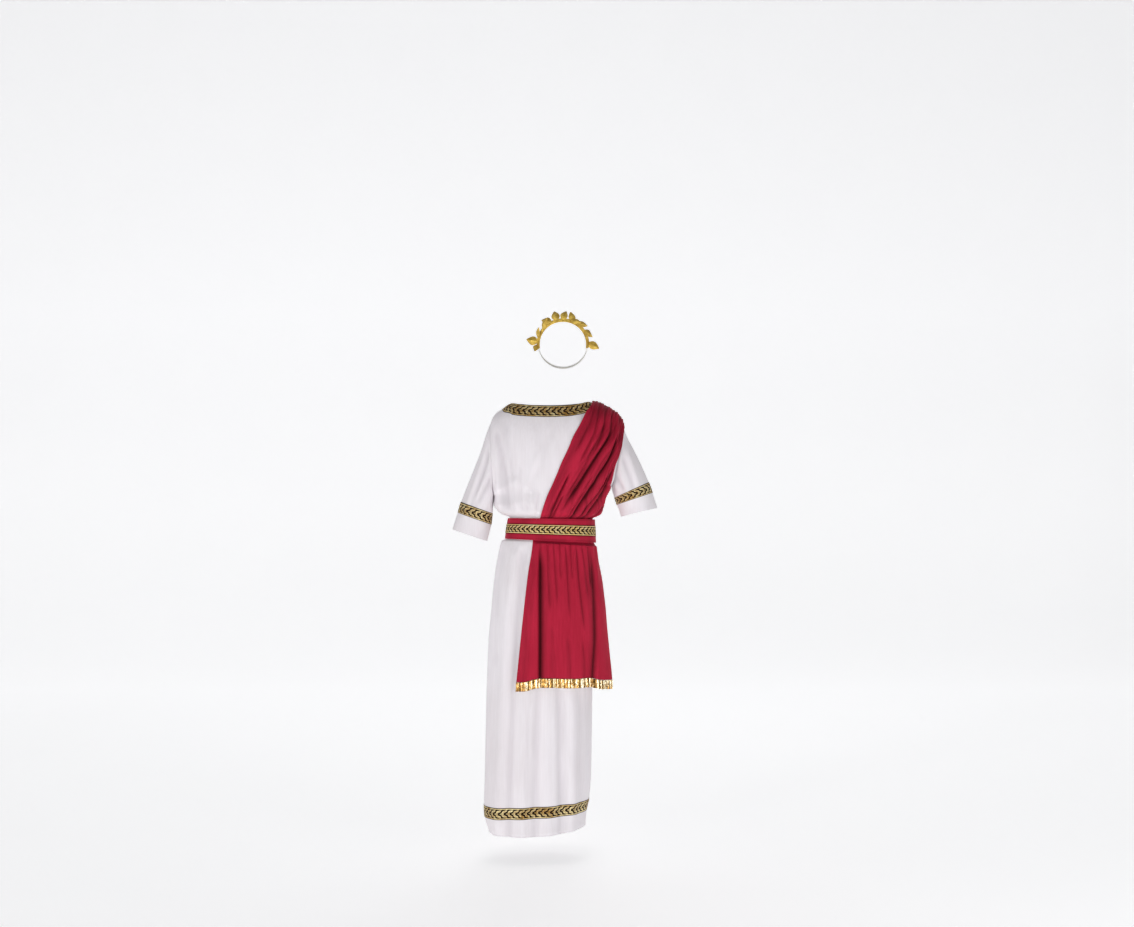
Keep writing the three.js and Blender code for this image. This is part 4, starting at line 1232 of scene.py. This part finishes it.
PANEL_CREASES = [
    crease([(-35, -460), (-35, -600), (-35, -776), (-36, -960)], 9.5, 16, 0.55),
    crease([(-12, -460), (-8, -560), (-2, -720)], 6, 5.0, 0.2),
    crease([(7, -460), (14, -560), (22, -700)], 5.5, 5.0, 0.2),
    crease([(26, -460), (30, -520), (32, -610)], 5, 4.5, 0.0),
    crease([(43, -460), (52, -570), (60, -740)], 5.5, 5.2, 0.2),
    crease([(60, -460), (64, -530), (68, -610)], 5, 4.5, 0.0),
    crease([(75, -460), (86, -590), (106, -790)], 6, 6.0, 0.3),
    crease([(92, -460), (104, -560), (118, -680)], 6, 5.0, 0.2),
    crease([(108, -460), (118, -550), (126, -640)], 5, 5.5, 0.2),
    crease([(118, -480), (132, -600), (139, -776), (131, -960)], 9, 12, -0.55),
    crease([(-54, -480), (-60, -600), (-66, -740)], 8, 2.5, 0.0),
    crease([(-70, -600), (-80, -740), (-92, -960)], 11, 3.5, 0.0),
    crease([(4, -740), (6, -850), (8, -960)], 12, 3.0, 0.0),
    crease([(52, -780), (58, -860), (62, -960)], 12, 4.0, 0.0),
    crease([(98, -800), (104, -880), (106, -960)], 9, 4.0, 0.0),
]


def lower_sash_point(along, height):
    """A point of the sash: the skirt's own point, moved out by the swell of the cloth, less
    its creases, and swung out to the side as the power 2.6 of the way across."""
    left = ROBE.left(height)
    right = ROBE.right(height)
    start = np.arcsin(np.clip(2 * (PANEL_EDGE.x(height) - left) / (right - left) - 1, -1, 1))
    angle = mix(start, math.pi / 2, along)
    point = robe_point(-1, angle, height)
    normal = robe_normal(-1, angle, height)
    fall = np.clip((BELT_EDGE - height) / (BELT_EDGE - PANEL_LOW), 0, 1) ** 1.1
    flap = along**2.6
    point[..., 0] += FLAP_X * flap * fall
    point[..., 1] += mix(-STAND, FLAP_Y, flap) * ease(-height, -BELT_EDGE, 700)
    open_cloth = ease(-height, 475.5, 489)
    edge = np.minimum(1, along * 10)
    ripple = 1.4 * (1 + np.sin(along * math.pi * 2 * 9 + np.sin(along * 7)))
    ripple = ripple * open_cloth * (1 - ease(-height, 500, 640))
    by_belt = 1 - 0.95 * ease(along, 0.76, 1) * (1 - ease(-height, 480, 640))
    swell = 16.5 * open_cloth * by_belt + waviness(point[..., 0], height, 77, 60, 1.2) * open_cloth
    dips = crease_depth(PANEL_CREASES, point[..., 0], height, -950) * open_cloth
    lift = 0.9 + np.maximum(0, (swell - dips) * open_cloth * edge) + ripple * edge
    point[..., 2] += PANEL_DROP(along) * ease(-height, 560, -PANEL_LOW)
    return point + normal * lift[..., None], dips
middle = lower_sash_point(np.array([0.5]), np.array([float(PANEL_LOW)]))[0][0]
print("middle of the lower edge, mm:", middle.round(1).tolist())

# %% [markdown]
# The rows are closer together just below the belt, where the gathers are small. The deeper
# a point lies in a crease, the more painted shade it gets.

# %% Lower sash
def lower_sash():
    """The sash's points from its lower edge up to behind the belt."""
    rows = np.concatenate([
        np.linspace(PANEL_LOW, -500, 110, endpoint=False),
        np.linspace(-500, -444, 30),
    ])
    along, height = np.meshgrid(np.linspace(0, 1, 181), rows)
    points, dips = lower_sash_point(along, height)
    piece = make_sheet("sash_lower_cloth", points, (0, -1, 0), wall=SASH_WALL)
    # painted shade, deeper in the creases
    paint(piece, "shade_stitch_wear", np.clip(dips / 13, 0, 1) ** 1.2)
    settle(piece, "sash_lower", WINE_KNIT)
    return piece


sash_low = lower_sash()
print("quads in the lower sash:", len(sash_low.data.polygons))

# %% [markdown]
# The frill is a strip of foil cloth, sewn to the sash's lower edge and pushed into nearly
# thirty narrow flutes, each a little different. Its lower edge is cut with small teeth. The
# crush of the foil could be a bump in the shader alone. It is made in the mesh too, because
# it is what breaks the reflections.

# %% Foil frill
FRILL_DROP = 31
FLUTES = 27


def foil_frill():
    """From the sash's lower edge down: a wave sin(turn) + 0.3 sin(2 turn + 1) to the front,
    deeper towards the bottom, with uneven breadths and strengths drawn from a seed."""
    columns = FLUTES * 16
    down = np.linspace(0, 1, 15)
    along = np.linspace(0, 1, columns + 1)
    low = np.full(columns + 1, float(PANEL_LOW))
    edge, _ = lower_sash_point(along, low)
    ahead, _ = lower_sash_point(np.minimum(1, along + 0.01), low)
    behind, _ = lower_sash_point(np.maximum(0, along - 0.01), low)
    forward = unit(np.cross(ahead - behind, np.array([0.0, 0.0, 1.0])))
    rng = np.random.default_rng(12)
    strength = np.interp(along * FLUTES, np.arange(FLUTES + 1), rng.uniform(0.4, 1.35, FLUTES + 1))
    breadths = np.concatenate([[0], np.cumsum(rng.uniform(0.45, 1.7, FLUTES))])
    steps = np.linspace(0, 1, FLUTES + 1)
    turn = math.pi * 2 * FLUTES * np.interp(along, breadths / breadths[-1], steps)
    wave = np.sin(turn) + 0.3 * np.sin(2 * turn + 1)
    part = down[:, None]
    crush = waviness(along[None, :] * 320, part * FRILL_DROP * 3, 9, 9, 1.5)
    flute = wave[None, :] * strength[None, :] * mix(1.2, 3.4, part) + crush * mix(0.5, 1.0, part)
    sway = np.cos(turn)[None, :] * mix(0.2, 1.2, part)
    side = unit(np.cross(forward, np.array([0.0, 0.0, 1.0])))
    points = edge[None] + forward[None] * (1.4 + flute)[..., None] + side[None] * sway[..., None]
    teeth = 0.9 * np.abs(((along * FLUTES * 4) % 1) * 2 - 1)
    points[..., 2] -= SEAM + (FRILL_DROP - teeth[None, :] * part**6) * part
    piece = make_sheet("foil_frill_cloth", points, (0, -1, 0), wall=0.4)
    lit = 0.5 + 0.42 * np.cos(turn + 0.6) * strength + 0.12 * np.sin(turn * 2.3)
    paint(piece, "crest", np.broadcast_to(lit, points.shape[:2]))
    settle(piece, "foil_frill", GOLD_FOIL)


foil_frill()
print("flutes in the frill:", FLUTES)

# %% [markdown]
# The belt is one broad strip of doubled cloth, closed behind where one end lies on the
# other. A torus squashed flat would have no ends to overlap. So a strip is wound once round
# the waist and a little further, and its end is lifted over its start. The section is a
# superellipse, which has flatter sides than an ellipse, as a waist has.

# %% Form of the belt
BELT = Table(
    ["height", "left", "right", "front", "back"],
    [[-480, -156.5, 151.5, 112, 100], [-399, -145, 147.5, 107, 96]],
)
BELT_LOW = -474.5
BELT_HIGH = -400.5
BELT_MIDDLE = (BELT_LOW + BELT_HIGH) / 2
BELT_LEAN = -0.03  # its rise for each mm towards +X
BELT_TURNS = 1 + 60 / 800  # once round, and an overlap of about 60 mm
BELT_SECTION = 2.3
BELT_COLUMNS = 420


def belt_point(part, across, lift):
    """A superellipse of power 2.3 round the waist; across runs up from the lower edge."""
    height = mix(BELT_LOW, BELT_HIGH, across)
    around = math.pi + math.pi * 2 * part
    x = np.sin(around)
    y = -np.cos(around)
    middle = (BELT.left(height) + BELT.right(height)) / 2
    half = (BELT.right(height) - BELT.left(height)) / 2 + lift
    depth = np.where(y < 0, BELT.front(height), BELT.back(height)) + lift
    round_off = (np.abs(x) ** BELT_SECTION + np.abs(y) ** BELT_SECTION) ** (-1 / BELT_SECTION)
    px = middle + half * x * round_off
    wide = (height - BELT_MIDDLE) * 0.06 * (px / 150)
    return np.stack([px, depth * y * round_off, height + BELT_LEAN * px + wide], -1)


def belt_strip(start, low, high, rows, lift):
    """A strip of the belt's form from start to its end, lifted where it overlaps, puckered
    by the stitching and with a slow wave of slack."""
    part, across = np.meshgrid(np.linspace(start, BELT_TURNS, BELT_COLUMNS),
                               np.linspace(low, high, rows))
    over = 2.8 * ease(part, 0.93, 0.985)
    pucker = 0.5 * np.sin(part * 230 + 3 * np.sin(part * 17)) * np.sin(across * math.pi) ** 2
    slack = 0.8 * np.sin(part * 21 + across * 3)
    return belt_point(part, across, lift + over + pucker * 0.6 + slack * 0.5)


print("middle of the belt in front, mm:", belt_point(0.5, 0.5, 0).round(1).tolist())

# %% [markdown]
# The rows of stitching are too fine for the mesh, so they are painted as dark lines. The
# ribbon is a second strip of the same form, further out, and starts past the overlap.

# %% Belt and its ribbon
def belt_shade(part, across):
    """Narrow bells at the rows of stitching, and a slow wave for the worn unevenness."""
    rows = [(0.06, 0.3), (0.94, 0.3), (0.26, 0.45), (0.75, 0.45)]
    lines = sum(deep * np.exp(-((across - at) / 0.022) ** 2) for at, deep in rows)
    return (lines + 0.12 + 0.08 * np.sin(part * 40 + 2 * np.sin(across * 5))
            + 0.05 * np.sin(part * 97))


def make_belt():
    """The strip over its whole breadth, and the ribbon over the middle of it."""
    points = belt_strip(0, 0, 1, 61, 1.6)
    piece = make_sheet("belt_cloth", points, points[30, 210] - points.mean(axis=(0, 1)), wall=1.6)
    part, across = np.meshgrid(np.linspace(0, BELT_TURNS, BELT_COLUMNS), np.linspace(0, 1, 61))
    paint(piece, "shade_stitch_wear", belt_shade(part, across))
    settle(piece, "belt", WINE_KNIT)
    points = belt_strip(5 * BELT_TURNS / 56, 0.28, 0.73, 11, 2.8)
    outward = points[5, 210] - points.mean(axis=(0, 1))
    braid = make_sheet("belt_braid_cloth", points, outward, wall=0.8,
                       uv=ribbon_uv(points, BELT_RIBBON))
    settle(braid, "belt_braid", LAUREL_NARROW)


make_belt()
print("belt, turns round the waist:", BELT_TURNS)

# %% [markdown]
# The hairband is a flat covered band, tilted with its front high, and an elastic closes
# its ring at the back. A bent circle curve would do for a round ring, but both of these
# are flat, so each is a strip along one tilted ellipse, and the band's face is also turned
# a little forward.

# %% Hairband
HAIR_MIDDLE = (40, -6, 194)
HAIR_HALF_WIDTH = 84
HAIR_HALF_LENGTH = 108
HAIR_TILT = 0.72
BAND_WIDE = 12.5
BAND_WALL = 1.6
BAND_END = 1.72  # the angle from the front at which the band ends and the elastic begins
BAND_GAP = 0.004  # the angle left open between the two


def hair_ring(angle, lift, up):
    """An ellipse in a plane tilted about the X axis; lift is outwards, up is across the band."""
    angle, lift, up = np.broadcast_arrays(*[np.asarray(v, float) for v in (angle, lift, up)])
    x = (HAIR_HALF_WIDTH + lift) * np.sin(angle)
    y = -(HAIR_HALF_LENGTH + lift) * np.cos(angle)
    cos, sin = math.cos(-HAIR_TILT), math.sin(-HAIR_TILT)
    return np.stack([x, y * cos - up * sin, y * sin + up * cos], -1) + HAIR_MIDDLE


def hair_strip(name, node, start, stop, wide, wall, twists, material):
    """A strip round the ring; the twists turn its face forward, at the front and at the sides."""
    angle, up = np.meshgrid(np.linspace(start, stop, 121), np.linspace(-wide / 2, wide / 2, 7))
    crown = wall * (1 - 0.35 * (up / (wide / 2)) ** 2)
    twist = mix(twists[0], twists[1], np.sin(angle) ** 2)
    lift = crown * np.cos(twist) + up * np.sin(twist)
    points = hair_ring(angle, lift, up * np.cos(twist) - crown * np.sin(twist))
    piece = make_sheet(name, points, points[3, 60] - np.array(HAIR_MIDDLE), wall=wall * 0.9)
    settle(piece, node, material)


hair_strip("hairband_cloth", "hairband", -BAND_END, BAND_END, BAND_WIDE, BAND_WALL, (0.5, 1.0),
           GOLD_LAME)
hair_strip("hairband_elastic_cloth", "hairband_elastic", BAND_END + BAND_GAP,
           2 * math.pi - BAND_END - BAND_GAP, 10, 1.2, (0, 0), ELASTIC)
print("front of the hairband's ring, mm:", hair_ring(0, 0, 0).round(1).tolist())

# %% [markdown]
# Twelve cloth leaves stand along the band. One leaf copied twelve times would look stamped,
# so each has its own row: its place is an angle round the band, and its direction is given
# along, above and out from the band. It is a pointed oval with a raised rib, cupped and
# bent back a little.

LEAVES = [
    # at, along, above, out, frontal, lift, length, width
    [-1.47, 0.0, 0.25, 1, 1, 0.6, 40, 31],
    [-1.6, 0, -1, 0.25, 1, 2.4, 32, 21],
    [-1.3, 1, 0.1, 0.15, 0.6, 1.6, 44, 18],
    [-0.88, 1, 0.3, 0.2, 0.6, 1.6, 44, 19],
    [-0.46, -0.9, 0.5, 0.35, 0.6, 1.2, 39, 27],
    [-0.24, -0.15, 0.95, 0.35, 0.6, 0.8, 37, 28],
    [-0.02, 0.4, 0.85, 0.35, 0.6, 0.8, 35, 25],
    [0.4, -0.45, 0.85, 0.35, 0.6, 1.0, 36, 24],
    [0.3, 0.8, -0.5, 0.5, 0.6, 1.6, 42, 22],
    [0.56, 1, 0.15, 0.25, 0.6, 2.0, 42, 22],
    [0.98, 1, 0.1, 0.25, 0.6, 1.6, 44, 22],
    [1.52, 0.1, -0.6, 0.85, 1, 1.5, 44, 28],
]


def leaf(name, row, number):
    """Half-breadth is sin(pi s^0.8) along the leaf; the rib, the cup and the bend move it
    along the direction that it faces."""
    at, along, above, out, frontal, lift, length, width = row
    root = hair_ring(at, BAND_WALL + SEAM + lift, 0)
    tangent = unit(hair_ring(at + 0.01, BAND_WALL, 0) - hair_ring(at - 0.01, BAND_WALL, 0))
    upright = unit(hair_ring(at, BAND_WALL, 1) - hair_ring(at, BAND_WALL, 0))
    outward = unit(np.cross(tangent, upright))
    tip = unit(tangent * along + upright * above + outward * out)
    face = outward * (1 - frontal) + np.array([0, -1, 0]) * frontal
    face = unit(face - tip * np.dot(face, tip))
    broad = np.cross(tip, face)
    side, part = np.meshgrid(np.linspace(-1, 1, 21), np.linspace(0, 1, 31))
    spread = np.sin(math.pi * mix(0.04, 0.985, part) ** 0.8)
    rib = 4.4 * (1 - np.abs(side)) ** 1.2 * np.sin(math.pi * part) ** 0.8
    bend = 2 * part - 4 * part**2
    veins = 0.25 * np.sin(part * 40 - np.abs(side) * 9) * np.abs(side) * np.sin(math.pi * part)
    curl = 1.3 * np.sin(part * 5 + number * 1.7) * side**2 * spread
    rise = rib + bend + veins + curl + 1.2
    points = (root + tip * (length * part)[..., None]
              + broad * (side * spread * width / 2)[..., None] + face * rise[..., None])
    piece = make_sheet(name + "_cloth", points, face, wall=0.8)
    settle(piece, name, GOLD_LAME)


for number, row in enumerate(LEAVES, start=1):
    leaf(f"leaf_{number:02d}", row, number)
print("leaves on the hairband:", len(LEAVES))

# %% [markdown]
# The studio is a pale sweep of floor and wall. A floor and a wall that meet in a corner
# would show a line behind the robe, so the one curves up into the other. It also glows a
# little, so that it stays pale where little light falls.

# %% Floor
FLOOR_Z = -1.53


def sweep():
    """A floor that curves up into a wall: a quarter circle between two straight stretches."""
    turn = np.linspace(0, math.pi / 2, 13)
    y = np.concatenate([[-12, -4], 5 + 3 * np.sin(turn), [8]])
    z = np.concatenate([[0, 0], 3 - 3 * np.cos(turn), [9]])
    across = np.array([-14.0, 14.0])
    points = np.stack([np.broadcast_to(across, (len(y), 2)), np.repeat(y[:, None], 2, 1),
                       np.repeat(z[:, None], 2, 1) + FLOOR_Z], -1)
    piece = make_sheet("studio_sweep", points / MM, (0, -0.5, 1), wall=0)
    finish = Finish("sweep_paper")
    grain = finish.noise(3.0)
    tone = finish.blend(grain, colour(250, 250, 251), colour(246, 246, 248))
    place = finish.node("ShaderNodeTexCoord", None, None, "Object")
    height = finish.node("ShaderNodeSeparateXYZ", None, {0: place}, 2)
    piece.data.materials.append(finish.surface({
        "Base Color": tone,
        "Roughness": 0.9,
        "Emission Color": finish.blend(height.soft(-0.6, 1.6), (1, 1, 1, 1), (0.8, 0.8, 0.8, 1)),
        "Emission Strength": 0.45,
    }))
sweep()
print("floor height, m:", FLOOR_Z)

# %% [markdown]
# A strong light stands at the front left and a weaker, broader one at the front right, so
# that every fold has a lit and a shaded side. A third, behind, draws the shoulders' outline. An
# even surrounding light fills the folds. Past the end of the sweep the camera sees a paler
# backdrop, which lights nothing.

# %% Lights
def area_light(name, place, aim, size, power):
    """A round lamp at a place, with its -Z axis turned towards the aim. Sizes are in metres
    and the power is in watts."""
    light = bpy.data.lights.new(name, "AREA")
    light.shape = "DISK"
    light.size = size
    light.energy = power
    lamp = bpy.data.objects.new(name, light)
    lamp.location = place
    lamp.rotation_euler = (Vector(aim) - Vector(place)).to_track_quat("-Z", "Y").to_euler()
    bpy.context.scene.collection.objects.link(lamp)


area_light("key", (-5.0, -6.4, -1.1), (0, 0, -1.0), 1.5, 254)
area_light("fill", (2.7, -3.0, -1.4), (0, 0, -1.3), 2.0, 64)
area_light("back", (0.5, 3.6, 2.6), (0, 0, -0.5), 2.4, 20)


def studio_world():
    """The surrounding light, and a paler backdrop that only the camera sees past the sweep."""
    world = bpy.data.worlds.new("studio")
    world.use_nodes = True
    nodes, links = world.node_tree.nodes, world.node_tree.links
    around = nodes["Background"]
    around.inputs["Color"].default_value = (0.96, 0.965, 0.98, 1)
    around.inputs["Strength"].default_value = 0.3
    seen = nodes.new("ShaderNodeBackground")
    seen.inputs["Color"].default_value = (0.9, 0.905, 0.915, 1)
    rays = nodes.new("ShaderNodeLightPath")
    split = nodes.new("ShaderNodeMixShader")
    links.new(rays.outputs["Is Camera Ray"], split.inputs[0])
    links.new(around.outputs[0], split.inputs[1])
    links.new(seen.outputs[0], split.inputs[2])
    links.new(split.outputs[0], nodes["World Output"].inputs["Surface"])
    bpy.context.scene.world = world


studio_world()
print("lights:", len(bpy.data.lights))

# %% [markdown]
# The camera stands five metres away and looks up very slightly, so the robe fills about
# half of the picture's height. The Standard view keeps the white of the cloth white.

# %% Camera
CAMERA = (0.054, -5.0, -0.432)
CAMERA_PITCH = math.atan2(0.2195, 5.0)
LENS = 46.7

bpy.context.scene.view_settings.view_transform = "Standard"
camera_data = bpy.data.cameras.new("camera")
camera_data.lens = LENS
camera = bpy.data.objects.new("camera", camera_data)
camera.location = CAMERA
camera.rotation_euler = (math.pi / 2 + CAMERA_PITCH, 0, 0)
bpy.context.scene.collection.objects.link(camera)
bpy.context.scene.camera = camera
print("camera height, m:", CAMERA[2])
